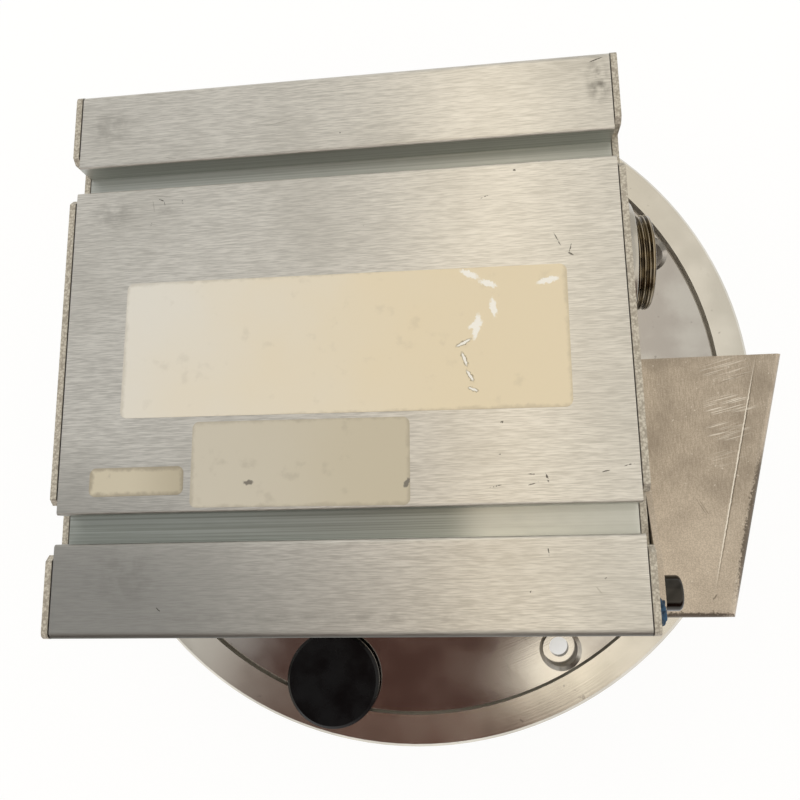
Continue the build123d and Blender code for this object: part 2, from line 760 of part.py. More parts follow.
def make_bearing_cover():
    outer = CARRIER_FLANGE / 2
    hollow = BEARING_OD / 2 - COVER_RECESS
    top = z_neck_top + COVER_THICKNESS
    body = turned(
        (hollow, z_neck_top),
        (outer, z_neck_top),
        (outer, top - EDGE),
        (outer - EDGE, top),
        (0, top),
        (0, top - COVER_RECESS),
        (hollow, top - COVER_RECESS),
    )
    return body - carrier_screw_holes(z_neck_top, COVER_THICKNESS)


def make_bearing_cover_screws():
    screw = cap_screw(SCREW_DIAMETER, COVER_SCREW_LENGTH, SCREW_HEAD, SCREW_DIAMETER)
    screw = Pos(0, 0, z_neck_top + COVER_THICKNESS) * screw
    return around(screw, carrier_screw_circle, 4, rod_start)


def make_shaft_nut():
    bottom = z_upper_bearing + BEARING_WIDTH
    nut = extrude(Plane.XY.offset(bottom) * RegularPolygon(SHAFT_NUT_DIAMETER / 2, 6), SHAFT_NUT_THICKNESS)
    return nut - rod(JOURNAL_DIAMETER + 2 * SLIP, bottom, SHAFT_NUT_THICKNESS)


# ---- Motor housing, its screws and the foreline port ------------------------------------
def make_motor_housing():
    outer = neck_diameter / 2
    inner = neck_bore / 2
    foot = foot_diameter / 2
    web_bottom = z_web_top - WEB_THICKNESS
    body = turned(
        (inner, z_floor),
        (foot, z_floor),
        (foot, z_floor + FOOT_THICKNESS - EDGE),
        (foot - EDGE, z_floor + FOOT_THICKNESS),
        (outer, z_floor + FOOT_THICKNESS),
        (outer, z_neck_top),
        (CARRIER_FLANGE / 2 + SLIP, z_neck_top),
        (CARRIER_FLANGE / 2 + SLIP, z_web_top),
        (CARRIER_DIAMETER / 2 + SLIP, z_web_top),
        (CARRIER_DIAMETER / 2 + SLIP, web_bottom),
        (inner, web_bottom),
    )
    body -= Pos(0, 0, z_port) * radial_bore(PORT_TUBE / 2 + SLIP)
    body -= carrier_screw_holes(web_bottom, WEB_THICKNESS)
    hole = rod(SCREW_DIAMETER + 2 * SLIP, z_floor, FOOT_THICKNESS)
    body -= around(hole, foot_screw_circle, FOOT_SCREW_COUNT, FOOT_SCREW_ANGLE)
    tapped = rod(SCREW_DIAMETER + 2 * SLIP, z_neck_top - BASE_SCREW_LENGTH, BASE_SCREW_LENGTH)
    return body - around(tapped, neck_screw_circle, 4)


def radial_bore(radius):
    """Cutter along -X from the rotor axis."""
    return extrude(Plane.YZ * Circle(radius), -PORT_REACH)


def make_foot_screws():
    screw = cap_screw(SCREW_DIAMETER, FOOT_SCREW_LENGTH, SCREW_HEAD, SCREW_DIAMETER)
    screw = Pos(0, 0, z_floor + FOOT_THICKNESS) * screw
    return around(screw, foot_screw_circle, FOOT_SCREW_COUNT, FOOT_SCREW_ANGLE)


def make_foreline_port():
    """Tube with a small clamp flange, lying along -X."""
    start = neck_bore / 2 + EDGE
    tube = PORT_TUBE / 2
    flange = PORT_FLANGE / 2
    bore = PORT_BORE / 2
    taper = (flange - tube) * tan(radians(15))
    body = turned(
        (bore, start),
        (tube, start),
        (tube, PORT_REACH - PORT_LIP - taper),
        (flange, PORT_REACH - PORT_LIP),
        (flange, PORT_REACH),
        (bore, PORT_REACH),
    )
    return Pos(0, 0, z_port) * Rot(0, -90, 0) * body


# ---- Cover housing ---------------------------------------------------------------------
def channel_places():
    """Centre lines of the four screw channels, as (y, height)."""
    y = COVER_WIDTH / 2 - CHANNEL_EDGE
    front = z_face - CHANNEL_DEPTH
    rear = z_cover_rear + LIP_THICKNESS + CHANNEL_DEPTH
    return [(sign * y, z) for sign in (1, -1) for z in (front, rear)]


def at_cover(y, z):
    """A place in the cover's cross-section, in the plane that faces +X."""
    return Pos(y + COVER_OFFSET_Y, z)


def make_cover_profile():
    """Extruded trough: face, two side walls, two grooves and four screw channels."""
    half = COVER_WIDTH / 2
    middle = (z_face + z_cover_rear) / 2
    section = at_cover(0, middle) * Rectangle(COVER_WIDTH, COVER_DEPTH)
    section = fillet(section.vertices().sort_by(Axis.Y)[-2:], COVER_EDGE_RADIUS)
    inside = COVER_DEPTH - COVER_FACE_WALL
    cavity = Rectangle(COVER_WIDTH - 2 * COVER_SIDE_WALL, inside)
    section -= at_cover(0, z_cover_rear + inside / 2) * cavity
    keep = GROOVE_DEPTH + COVER_SIDE_WALL
    channel = Rectangle(GROOVE_WIDTH + 2 * COVER_SIDE_WALL, keep)
    for y in (UPPER_GROOVE, LOWER_GROOVE):
        section += at_cover(y, z_face - keep / 2) * channel
    lip = Rectangle(LIP_WIDTH, LIP_THICKNESS)
    for sign in (1, -1):
        section += at_cover(sign * (half - LIP_WIDTH / 2), z_cover_rear + LIP_THICKNESS / 2) * lip
    for y, z in channel_places():
        section += at_cover(y, z) * Circle(SCREW_DIAMETER / 2 + CHANNEL_WALL)
        to_wall = half - abs(y)
        web = Rectangle(to_wall, 2 * CHANNEL_WALL)
        section += at_cover(y + (to_wall / 2 if y > 0 else -to_wall / 2), z) * web
    section &= at_cover(0, middle) * rounded_outline()
    groove = Rectangle(GROOVE_WIDTH, 2 * GROOVE_DEPTH)
    for y in (UPPER_GROOVE, LOWER_GROOVE):
        section -= at_cover(y, z_face) * groove
    for y, z in channel_places():
        section -= at_cover(y, z) * Circle(SCREW_DIAMETER / 2 + SLIP)
    start = COVER_OFFSET_X - COVER_LENGTH / 2
    body = extrude(Plane.YZ.offset(start) * section, COVER_LENGTH)
    lips = body.edges().filter_by(Axis.X).filter_by(groove_lip)
    body = fillet(lips, GROOVE_LIP_RADIUS)
    for x, y in base_screw_places():
        hole = rod(SCREW_DIAMETER + 2 * SLIP, z_cover_rear, LIP_THICKNESS)
        body -= Pos(x, y, 0) * hole
    return body


def rounded_outline():
    """Outer outline of the cover, with its two rounded front edges."""
    outline = Rectangle(COVER_WIDTH, COVER_DEPTH)
    return fillet(outline.vertices().sort_by(Axis.Y)[-2:], COVER_EDGE_RADIUS)


def groove_lip(edge):
    """True for the four edges where a groove meets the front face."""
    center = edge.center()
    offset = center.Y - COVER_OFFSET_Y
    nearest = min(abs(offset - UPPER_GROOVE), abs(offset - LOWER_GROOVE))
    return abs(center.Z - z_face) < 0.01 and abs(nearest - GROOVE_WIDTH / 2) < 0.01


def base_screw_places():
    """Screws from the base plate into the cover's rear lips."""
    y = COVER_WIDTH / 2 - LIP_WIDTH / 2 - EDGE
    spread = COVER_LENGTH / 3
    return [
        (COVER_OFFSET_X + step * spread, COVER_OFFSET_Y + sign * y)
        for step in (-1, 0, 1)
        for sign in (1, -1)
    ]


def make_base_plate():
    plate = Pos(*cover_center, z_neck_top + BASE_THICKNESS / 2)
    body = plate * Box(COVER_LENGTH, COVER_WIDTH, BASE_THICKNESS)
    body -= rod(BASE_OPENING, z_neck_top, BASE_THICKNESS)
    cutter = sink_cutter(BASE_THICKNESS)
    for x, y in base_screw_places():
        body -= Pos(x, y, z_neck_top) * Rot(180, 0, 0) * cutter
    neck_cutter = Pos(0, 0, z_cover_rear) * cutter
    return body - around(neck_cutter, neck_screw_circle, 4)


def sink_cutter(depth):
    """Cutter for a countersunk hole whose flat head lies at height 0."""
    cone = (COUNTERSUNK_HEAD - SCREW_DIAMETER) / 2
    return turned(
        (0, -depth),
        (SCREW_DIAMETER / 2 + SLIP, -depth),
        (SCREW_DIAMETER / 2 + SLIP, -cone),
        (COUNTERSUNK_HEAD / 2 + SLIP, 0),
        (COUNTERSUNK_HEAD / 2 + SLIP, OVERCUT),
        (0, OVERCUT),
    )


def make_base_plate_screws():
    screw = countersunk_screw(SCREW_DIAMETER, BASE_SCREW_LENGTH, COUNTERSUNK_HEAD)
    low = [Pos(x, y, z_neck_top) * Rot(180, 0, 0) * screw for x, y in base_screw_places()]
    high = around(Pos(0, 0, z_cover_rear) * screw, neck_screw_circle, 4)
    return low + high


def plate_outline():
    """End plate seen along X: three tabs at the face, a notch as deep as each groove."""
    top = z_face + PLATE_PROUD
    outline = at_cover(0, (top + z_neck_top) / 2) * Rectangle(COVER_WIDTH, top - z_neck_top)
    outline = fillet(outline.vertices().sort_by(Axis.Y)[-2:], COVER_EDGE_RADIUS)
    for y, margin in ((UPPER_GROOVE, UPPER_NOTCH_MARGIN), (LOWER_GROOVE, LOWER_NOTCH_MARGIN)):
        width = GROOVE_WIDTH + 2 * margin
        notch = Polyline(
            (-width / 2 - NOTCH_CHAMFER, PLATE_PROUD + OVERCUT),
            (-width / 2 - NOTCH_CHAMFER, PLATE_PROUD),
            (-width / 2, PLATE_PROUD - NOTCH_CHAMFER),
            (-width / 2, -GROOVE_DEPTH),
            (width / 2, -GROOVE_DEPTH),
            (width / 2, PLATE_PROUD - NOTCH_CHAMFER),
            (width / 2 + NOTCH_CHAMFER, PLATE_PROUD),
            (width / 2 + NOTCH_CHAMFER, PLATE_PROUD + OVERCUT),
            close=True,
        )
        outline -= at_cover(y, z_face) * make_face(notch)
    return outline


def make_end_plate(side):
    """Side is +1 for the connector's plate and -1 for the plain one."""
    start = x_right_plate if side > 0 else x_left_plate - END_PLATE
    body = extrude(Plane.YZ.offset(start) * plate_outline(), END_PLATE)
    outside = x_plate_outer if side > 0 else x_left_plate - END_PLATE
    for y, z in channel_places():
        place = Pos(outside, y + COVER_OFFSET_Y, z) * Rot(0, 90 * side, 0)
        if side > 0 and is_bracket_channel(y, z):
            body -= place * rod(SCREW_DIAMETER + 2 * SLIP, -2 * END_PLATE, 3 * END_PLATE)
        else:
            body -= place * sink_cutter(2 * END_PLATE)
    if side > 0:
        body -= connector_place() * rod(CONNECTOR_THREAD + 2 * SLIP, -2 * END_PLATE, 3 * END_PLATE)
    return body


def is_bracket_channel(y, z):
    return y < 0 and z > (z_face + z_cover_rear) / 2


def make_end_plate_screws():
    screw = countersunk_screw(SCREW_DIAMETER, SCREW_LENGTH, COUNTERSUNK_HEAD)
    screws = []
    for side, outside in ((1, x_plate_outer), (-1, x_left_plate - END_PLATE)):
        for y, z in channel_places():
            if side < 0 or not is_bracket_channel(y, z):
                place = Pos(outside, y + COVER_OFFSET_Y, z) * Rot(0, 90 * side, 0)
                screws.append(place * screw)
    return screws


# ---- Supply connector ------------------------------------------------------------------
def connector_place():
    """Frame on the end plate's outer face with its +Z pointing out along +X."""
    return Pos(x_plate_outer, CONNECTOR_Y + COVER_OFFSET_Y, z_face - CONNECTOR_DEPTH) * Rot(0, 90, 0)


def make_connector_shell():
    outer = CONNECTOR_THREAD / 2
    inner = CONNECTOR_BORE / 2
    collar = CONNECTOR_COLLAR / 2
    body = turned(
        (inner, -CONNECTOR_TAIL),
        (outer, -CONNECTOR_TAIL),
        (outer, 0),
        (collar, 0),
        (collar, CONNECTOR_COLLAR_THICKNESS),
        (outer, CONNECTOR_COLLAR_THICKNESS),
        (outer, CONNECTOR_REACH - EDGE),
        (outer - EDGE, CONNECTOR_REACH),
        (inner, CONNECTOR_REACH),
    )
    return connector_place() * body


def make_connector_insert():
    body = rod(CONNECTOR_BORE - 2 * SLIP, -CONNECTOR_TAIL, INSERT_THICKNESS)
    return connector_place() * body


def make_connector_pins():
    top = INSERT_THICKNESS - CONNECTOR_TAIL
    pin = turned(
        (0, top),
        (PIN_DIAMETER / 2, top),
        (PIN_DIAMETER / 2, top + PIN_LENGTH - PIN_DIAMETER / 4),
        (PIN_DIAMETER / 4, top + PIN_LENGTH),
        (0, top + PIN_LENGTH),
    )
    return [connector_place() * piece for piece in around(pin, PIN_CIRCLE, PIN_COUNT)]


# ---- Bracket ---------------------------------------------------------------------------
def make_bracket():
    """Folded sheet: a tapered panel, a tab folded forwards, two flanges folded back."""
    front = z_face - BRACKET_DEPTH
    x_tab = x_plate_outer + TAB_GAP
    y_side = COVER_OFFSET_Y - COVER_WIDTH / 2
    top = y_side + BRACKET_TOP
    bottom = y_side + BRACKET_BOTTOM
    x_top = x_plate_outer + BRACKET_TOP_REACH
    x_bottom = x_plate_outer + BRACKET_BOTTOM_REACH
    panel = make_face(Polyline((x_tab, top), (x_top, top), (x_bottom, bottom), (x_tab, bottom), close=True))
    body = extrude(Plane.XY.offset(front - FLANGE_DROP) * panel, FLANGE_DROP)
    run = body.edges().group_by(Axis.Z)[-1]
    folds = run.filter_by(lambda e: e.center().X > x_bottom) + run.filter_by(lambda e: e.center().Y < bottom + SHEET)
    body = fillet(folds, BEND_RADIUS + SHEET)
    reach = FLANGE_DROP + OVERCUT
    taper = x_top - x_bottom
    fall = top - bottom
    inset = SHEET * sqrt(taper**2 + fall**2) / fall
    hollow_outline = Polyline(
        (x_tab - OVERCUT, top + OVERCUT),
        (x_top - inset, top + OVERCUT),
        (x_top - inset, top),
        (x_bottom - inset, bottom + SHEET),
        (x_tab - OVERCUT, bottom + SHEET),
        close=True,
    )
    hollow = extrude(Plane.XY.offset(front - SHEET - reach) * make_face(hollow_outline), reach)
    inner = hollow.edges().group_by(Axis.Z)[-1]
    inner_folds = inner.filter_by(lambda e: e.center().X > x_bottom - inset)
    inner_folds += inner.filter_by(lambda e: abs(e.center().Y - bottom - SHEET) < 0.1)
    body -= fillet(inner_folds, BEND_RADIUS)
    relief = Pos(x_bottom, bottom, front - FLANGE_DROP) * Box(3 * SHEET, 3 * SHEET, 2 * FLANGE_DROP - 2 * SHEET)
    body -= relief
    tab_face = Polyline(
        (y_side + TAB_ROOT, front - SHEET),
        (y_side + TAB_ROOT, front),
        (y_side + TAB_TOP, z_face - TAB_DEPTH),
        (y_side + TAB_END, z_face - TAB_DEPTH),
        (y_side + TAB_END, front - SHEET),
        close=True,
    )
    tab_face = make_face(tab_face)
    tab_face = fillet(tab_face.vertices().filter_by(lambda v: v.Y > front + SHEET), TAB_CORNER)
    body += extrude(Plane.YZ.offset(x_tab) * tab_face, SHEET)
    hole = bracket_screw_place() * rod(SCREW_DIAMETER + 2 * SLIP, -4 * SHEET, 5 * SHEET)
    return body - hole


def bracket_screw_place():
    """Frame on the tab's outer face with +Z along +X, on the channel's centre line."""
    y, z = [place for place in channel_places() if is_bracket_channel(*place)][0]
    return Pos(x_plate_outer + TAB_GAP + SHEET, y + COVER_OFFSET_Y, z) * Rot(0, 90, 0)


def make_bracket_screw():
    screw = cap_screw(SCREW_DIAMETER, SCREW_LENGTH, BRACKET_HEAD, BRACKET_HEAD_HEIGHT, BRACKET_HEAD_EDGE)
    return bracket_screw_place() * screw


# ---- Write every sub-part --------------------------------------------------------------
save(make_mounting_flange(), "mounting_flange")
save(torus_ring(seal_radius, SEAL_CORD, SEAL_CORD * 0.3), "flange_seal")
save(make_hole_plug(), "hole_plug")
save(make_drag_casing(), "drag_casing")
save(make_legged_casing(z_spacer_4, z_high_lip, z_drag_bottom, land_heights[1]), "stage_casing")
save(make_legged_casing(z_spacer_1, z_low_lip, z_spacer_4, land_heights[0]), "inlet_casing")
save(make_inlet_ring(), "inlet_ring")
save_group(make_tie_rods(), "tie_rods")
save_group(make_casing_seals(), "casing_seals")
save(make_splinter_guard(), "splinter_guard")
for number in range(len(SPACER_HEIGHTS)):
    save(make_spacer_ring(number), f"spacer_ring_{number + 1}")
for number in range(len(STATOR_HEIGHTS)):
    save(make_stator_disc(number), f"stator_disc_{number + 1}")
save(make_drag_stator(), "drag_stator")
save(make_drag_rotor(), "drag_rotor")
for number in range(len(ROTOR_BLADE_COUNTS)):
    save(make_rotor_disc(number), f"rotor_disc_{number + 1}")
save(make_sleeve(hub_span(2)[1], hub_span(3)[0]), "rotor_sleeve_1")
save(make_sleeve(hub_span(4)[1], z_drag_hub), "rotor_sleeve_2")
save(make_shaft(), "shaft")
save(make_rotor_bolt(), "rotor_bolt")
save(make_magnet(), "motor_magnet")
save(make_shaft_nut(), "shaft_nut")
save(make_bearing_carrier(), "bearing_carrier")
save(make_lower_bearing_seat(), "lower_bearing_seat")
for name, height in (("lower", z_lower_bearing), ("upper", z_upper_bearing)):
    save(make_outer_race(height), f"{name}_outer_race")
    save(make_inner_race(height), f"{name}_inner_race")
    save(make_cage(height), f"{name}_bearing_cage")
    save_group(make_balls(height), f"{name}_bearing_balls")
save(make_laminations(), "motor_laminations")
save_group(make_windings(), "motor_windings")
save(make_preload_spring(), "preload_spring")
save(make_bearing_cover(), "bearing_cover")
save_group(make_bearing_cover_screws(), "bearing_cover_screws")
save(make_motor_housing(), "motor_housing")
save_group(make_foot_screws(), "motor_housing_screws")
save(make_foreline_port(), "foreline_port")
save(make_base_plate(), "base_plate")
save_group(make_base_plate_screws(), "base_plate_screws")
save(make_cover_profile(), "cover_profile")
save(make_end_plate(-1), "end_plate_left")
save(make_end_plate(1), "end_plate_right")
save_group(make_end_plate_screws(), "end_plate_screws")
save(make_connector_shell(), "connector_shell")
save(make_connector_insert(), "connector_insert")
save_group(make_connector_pins(), "connector_pins")
save(make_bracket(), "bracket")
save(make_bracket_screw(), "bracket_screw")
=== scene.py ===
# %% [markdown]
# # A cartridge turbomolecular pump, seen from its electronics end
#
# A round flange carries the pump. Below it hangs the windowed stator casing with the bladed
# rotor inside, and above it stands an extruded aluminium cover with the supply connector and a
# folded bracket at its right end. The solids come ready from the CAD frame. This lesson gives
# each of them its real finish, and adds what a mesh does better than a solid: the rolled
# thread of the connector, the labels and a drop of locking varnish.

# %% Load the pump
import json
import math

import bmesh
import bpy
import numpy as np
from mathutils import Matrix, Vector


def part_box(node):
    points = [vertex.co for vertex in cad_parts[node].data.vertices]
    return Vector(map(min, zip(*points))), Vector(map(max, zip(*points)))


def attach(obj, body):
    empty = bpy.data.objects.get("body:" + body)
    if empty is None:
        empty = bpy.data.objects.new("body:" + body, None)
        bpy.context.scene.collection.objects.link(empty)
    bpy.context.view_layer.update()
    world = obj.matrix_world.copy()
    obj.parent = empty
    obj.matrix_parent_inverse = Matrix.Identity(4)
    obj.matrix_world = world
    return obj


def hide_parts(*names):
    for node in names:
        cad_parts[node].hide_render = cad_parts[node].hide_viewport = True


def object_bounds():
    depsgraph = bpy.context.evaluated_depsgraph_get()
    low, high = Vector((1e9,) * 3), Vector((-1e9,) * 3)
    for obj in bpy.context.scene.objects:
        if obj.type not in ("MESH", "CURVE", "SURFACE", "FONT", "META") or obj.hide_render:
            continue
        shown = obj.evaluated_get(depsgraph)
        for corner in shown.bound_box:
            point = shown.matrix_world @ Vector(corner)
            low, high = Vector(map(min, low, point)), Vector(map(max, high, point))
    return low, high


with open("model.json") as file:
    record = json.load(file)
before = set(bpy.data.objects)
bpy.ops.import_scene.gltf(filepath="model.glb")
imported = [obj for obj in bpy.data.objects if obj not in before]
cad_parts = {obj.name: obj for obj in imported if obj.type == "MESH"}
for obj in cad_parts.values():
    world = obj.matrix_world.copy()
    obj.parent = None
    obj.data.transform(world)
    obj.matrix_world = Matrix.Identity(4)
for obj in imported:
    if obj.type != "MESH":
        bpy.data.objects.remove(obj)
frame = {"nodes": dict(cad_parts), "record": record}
cad_low, cad_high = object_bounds()
nodes = frame["nodes"]
MM = 0.001
print("CAD box in mm", [round(v / MM, 1) for v in cad_high - cad_low])

# %% [markdown]
# Everything is placed from the cover: the middle of its front face is where the labels and the
# camera are measured from. All sizes are in millimetres and are multiplied by MM where they
# become Blender lengths.

# %% Places on the cover
cover_low, cover_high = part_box("cover_profile")
cover_middle = (cover_low + cover_high) / 2
face_height = cover_high.z


def on_cover(x, y, z=0.0):
    """Point x to the right, y up the face and z in front of it, from the face's centre, in mm."""
    return Vector((cover_middle.x + x * MM, cover_middle.y + y * MM, face_height + z * MM))


print("face centre", [round(v / MM, 2) for v in on_cover(0, 0)])

# %% [markdown]
# ## Camera
#
# The camera looks down on the cover from a hand's height, a little from the right and from the
# near side, so the right end plate, the connector and the near edge of the cover show. Three
# values fix its direction: the point it stands at, the point of the face it looks at, and how
# far the picture leans.

# %% Camera
EYE = on_cover(35.29, -50.88, 177.81)
TARGET = on_cover(15.31, -16.65)
LEAN = math.radians(1.02)
FOCAL_LENGTH = 34.195

forward = (TARGET - EYE).normalized()
right = forward.cross(Vector((math.sin(LEAN), math.cos(LEAN), 0.0))).normalized()
up = right.cross(forward)
camera_data = bpy.data.cameras.new("camera")
camera_data.lens = FOCAL_LENGTH
camera_data.sensor_width = 36.0
camera_data.clip_start = 0.01
camera = bpy.data.objects.new("camera", camera_data)
camera.matrix_world = Matrix.Translation(EYE) @ Matrix((right, up, -forward)).transposed().to_4x4()
bpy.context.scene.collection.objects.link(camera)
bpy.context.scene.camera = camera
print("camera distance to the face in mm", round((TARGET - EYE).length / MM, 1))

# %% [markdown]
# ## Node helpers
#
# Colours are written as the sRGB hex values one reads off a swatch, and Blender wants them
# linear. One small function adds every node, sets its properties and feeds its inputs. Long
# type names would hide the sums, so a table gives the commonest nodes a plain word.


# %% Colour and node helpers
def linear(code):
    """Linear RGBA of a hex colour: each channel c becomes ((c + 0.055) / 1.055) ** 2.4."""
    channels = [int(code[i : i + 2], 16) / 255 for i in (1, 3, 5)]
    return [c / 12.92 if c <= 0.04045 else ((c + 0.055) / 1.055) ** 2.4 for c in channels] + [1.0]


# Words for the nodes that a material needs most: the node's type and the settings it gets.
NODES = {
    "plus": ("Math", {"operation": "ADD"}),
    "minus": ("Math", {"operation": "SUBTRACT"}),
    "times": ("Math", {"operation": "MULTIPLY"}),
    "larger": ("Math", {"operation": "MAXIMUM"}),
    "smaller": ("Math", {"operation": "MINIMUM"}),
    "unsigned": ("Math", {"operation": "ABSOLUTE"}),
    "ease": ("MapRange", {"interpolation_type": "SMOOTHSTEP"}),
    "mix": ("Mix", {"data_type": "RGBA"}),
    "vector plus": ("VectorMath", {"operation": "ADD"}),
    "vector minus": ("VectorMath", {"operation": "SUBTRACT"}),
    "vector times": ("VectorMath", {"operation": "MULTIPLY"}),
    "vector over": ("VectorMath", {"operation": "DIVIDE"}),
    "vector unsigned": ("VectorMath", {"operation": "ABSOLUTE"}),
    "vector scale": ("VectorMath", {"operation": "SCALE"}),
    "cross": ("VectorMath", {"operation": "CROSS_PRODUCT"}),
    "direction": ("VectorMath", {"operation": "NORMALIZE"}),
    "distance": ("VectorMath", {"operation": "DISTANCE"}),
    "length": ("VectorMath", {"operation": "LENGTH"}),
}


def add(tree, kind, *values, out=None, **settings):
    """Adds a node and returns one of its outputs, the first open one if none is named.

    kind is a word of NODES, or a type without ShaderNode before it. Values go to the node's open
    inputs in order, and a capital setting to the input of that name: a number, a vector, a hex
    colour or a socket. Other settings are the node's properties. An ease carries its first value
    from low..high to 0..1, or to the two values after them, clamped and eased.
    """
    kind, known = NODES.get(kind, (kind, {}))
    node = tree.nodes.new("ShaderNode" + kind)
    for name, value in {**known, **settings}.items():
        if name[0].islower():
            setattr(node, name, value)
    fed = list(zip([socket for socket in node.inputs if socket.enabled], values))
    fed += [(node.inputs[name.replace("_", " ")], settings[name]) for name in settings if name[0].isupper()]
    for socket, value in fed:
        if isinstance(value, bpy.types.NodeSocket):
            tree.links.new(value, socket)
        else:
            socket.default_value = linear(value) if isinstance(value, str) else value
    return node.outputs[out] if out else next(socket for socket in node.outputs if socket.enabled)


def weigh(tree, first, share, second, other_share):
    """first * share + second * other_share."""
    return add(tree, "plus", add(tree, "times", first, share), add(tree, "times", second, other_share))


def tint(tree, color, mask, strength, code):
    """A colour, with another laid over it at a strength where the mask is 1."""
    return add(tree, "mix", add(tree, "times", mask, strength), color, code)


print("node helpers ready")


# %% Material helpers
def start_material(name, **sockets):
    """A material with one Principled shader, and its object coordinates in millimetres."""
    material = bpy.data.materials.new(name)
    material.use_nodes = True
    tree = material.node_tree
    shader = tree.nodes["Principled BSDF"]
    for key, value in sockets.items():
        shader.inputs[key.replace("_", " ")].default_value = value
    place = add(tree, "vector scale", add(tree, "TexCoord", out="Object"), 1 / MM)
    return material, tree, shader, place


def coat(tree, shader, color, roughness, height, depth):
    """Feeds the shader a colour, a roughness and a bump: a height of 0 to 1 times a depth in mm."""
    bump = add(tree, "Bump", Height=height, Distance=depth * MM, Strength=1.0)
    tree.links.new(color, shader.inputs["Base Color"])
    tree.links.new(roughness, shader.inputs["Roughness"])
    tree.links.new(bump, shader.inputs["Normal"])


def dress(material, slot):
    """Gives a material to every CAD node that the record lists under a slot."""
    worn = [part["node"] for part in frame["record"]["subparts"] if part["material_slot"] == slot]
    for name in worn:
        mesh = nodes[name].data
        mesh.materials.clear()
        mesh.materials.append(material)
    print(material.name, "->", ", ".join(worn))


print("material helpers ready")

# %% [markdown]
# ## Studio
#
# Bare metal shows its surroundings more than its own colour, so the room matters as much as the
# finish. The room is a pale ceiling: cool and dimmer at the left, warm and bright above the
# pump, dimmer again at the right and far behind. A brown shade stands where somebody leans
# over the pump: it shows in the polished flange and in the edges that face the near side. Each
# part of the ceiling is placed by its direction: x and y of the unit vector that points to it,
# and two distances from there, for where the part is full and where it ends. The camera itself
# sees a plain white backdrop behind the pump.

# %% Room colours and places
CEILING = [
    (-0.5, "#c8c8c7"),
    (-0.3, "#e4e3df"),
    (-0.1, "#f0ede6"),
    (0.03, "#eee8db"),
    (0.06, "#f2ebdb"),
    (0.12, "#fff8ea"),
    (0.2, "#e2ddd4"),
    (0.35, "#d6d4cf"),
]
RAMP_MIDDLE = 0.5
WALLS = "#f6f2ea"
SHADE = "#583f38"
CORNER = "#7f8080"
WINDOW = "#fff8e8"
WHITE = "#ffffff"
ROOM_LEVEL = 1.25
WINDOW_LEVEL = 1.7
WALL_TOP_Z = (0.6, 0.75)
NEAR_SIDE_Y = (-0.4, -0.75)
NEAR_SIDE_Z = (0.55, 0.35)
FAR_END_Y = (0.36, 0.62)
FAR_END_STRENGTH = 0.45
LEFT_CORNER = (-0.5, -0.25, 0.15, 0.6)
LEFT_CORNER_STRENGTH = 0.4
LEANING_SHADE = (-0.1, -0.21, 0.19, 0.27)
WINDOW_PLACE = (0.075, -0.15, 0.035, 0.05)
print("ceiling stops", len(CEILING))

# %% World
world = bpy.data.worlds.new("pale_room")
world.use_nodes = True
bpy.context.scene.world = world
tree = world.node_tree
direction = add(tree, "TexCoord", out="Generated")
toward_x, toward_y, toward_z = (add(tree, "SeparateXYZ", direction, out=axis) for axis in "XYZ")
ceiling = add(tree, "ValToRGB", add(tree, "plus", toward_x, RAMP_MIDDLE))
stops = ceiling.node.color_ramp.elements
for stop, (x, code) in zip((stops[0], stops[1]), (CEILING[0], CEILING[-1])):
    stop.position = x + RAMP_MIDDLE
    stop.color = linear(code)
for x, code in CEILING[1:-1]:
    stops.new(x + RAMP_MIDDLE).color = linear(code)


def patch(x, y, inside, outside):
    """1 within a distance of a direction's x and y, eased to 0 at a larger distance."""
    flat = add(tree, "vector times", direction, (1.0, 1.0, 0.0))
    return add(tree, "ease", add(tree, "distance", flat, (x, y, 0.0)), outside, inside)


near_side = add(tree, "ease", toward_y, *NEAR_SIDE_Y)
near_side = add(tree, "times", near_side, add(tree, "ease", toward_z, *NEAR_SIDE_Z))
walls = add(tree, "mix", near_side, WALLS, SHADE)
sky = add(tree, "mix", add(tree, "ease", toward_z, *WALL_TOP_Z), walls, ceiling)
sky = tint(tree, sky, patch(*LEFT_CORNER), LEFT_CORNER_STRENGTH, CORNER)
sky = add(tree, "mix", add(tree, "ease", toward_y, *FAR_END_Y, 0.0, FAR_END_STRENGTH), sky, CORNER)
sky = add(tree, "mix", patch(*LEANING_SHADE), sky, SHADE)
sky = add(tree, "mix", patch(*WINDOW_PLACE), sky, [WINDOW_LEVEL * v for v in linear(WINDOW)])

room = tree.nodes["Background"]
room.inputs["Strength"].default_value = ROOM_LEVEL
tree.links.new(sky, room.inputs["Color"])
seen = add(tree, "LightPath", out="Is Camera Ray")
backdrop = add(tree, "Background", WHITE, 1.0)
mixed = add(tree, "MixShader", seen, room.outputs[0], backdrop)
tree.links.new(mixed, tree.nodes["World Output"].inputs["Surface"])
print("world nodes", len(tree.nodes))


# %% Lamps and floor
def area_light(name, place, toward, width, height, radiance, color):
    """Rectangular light of a given radiance: its power is radiance * pi * area."""
    light = bpy.data.lights.new(name, "AREA")
    light.shape = "RECTANGLE"
    light.size = width
    light.size_y = height
    light.energy = radiance * math.pi * width * height
    light.color = linear(color)[:3]
    lamp = bpy.data.objects.new(name, light)
    lamp.location = place
    lamp.rotation_euler = (Vector(toward) - Vector(place)).to_track_quat("-Z", "Y").to_euler()
    bpy.context.scene.collection.objects.link(lamp)
    print(name, "power in W", round(light.energy, 2))


FLOOR_SIZE = 6.0
ABOVE = {"place": (0.035, -0.02, 1.3), "toward": (0.0, 0.0, 0.0), "width": 0.06, "height": 0.16}
FAR = {"place": (0.05, 0.62, 1.0), "toward": (0.0, 0.0, 0.1), "width": 0.16, "height": 0.34}

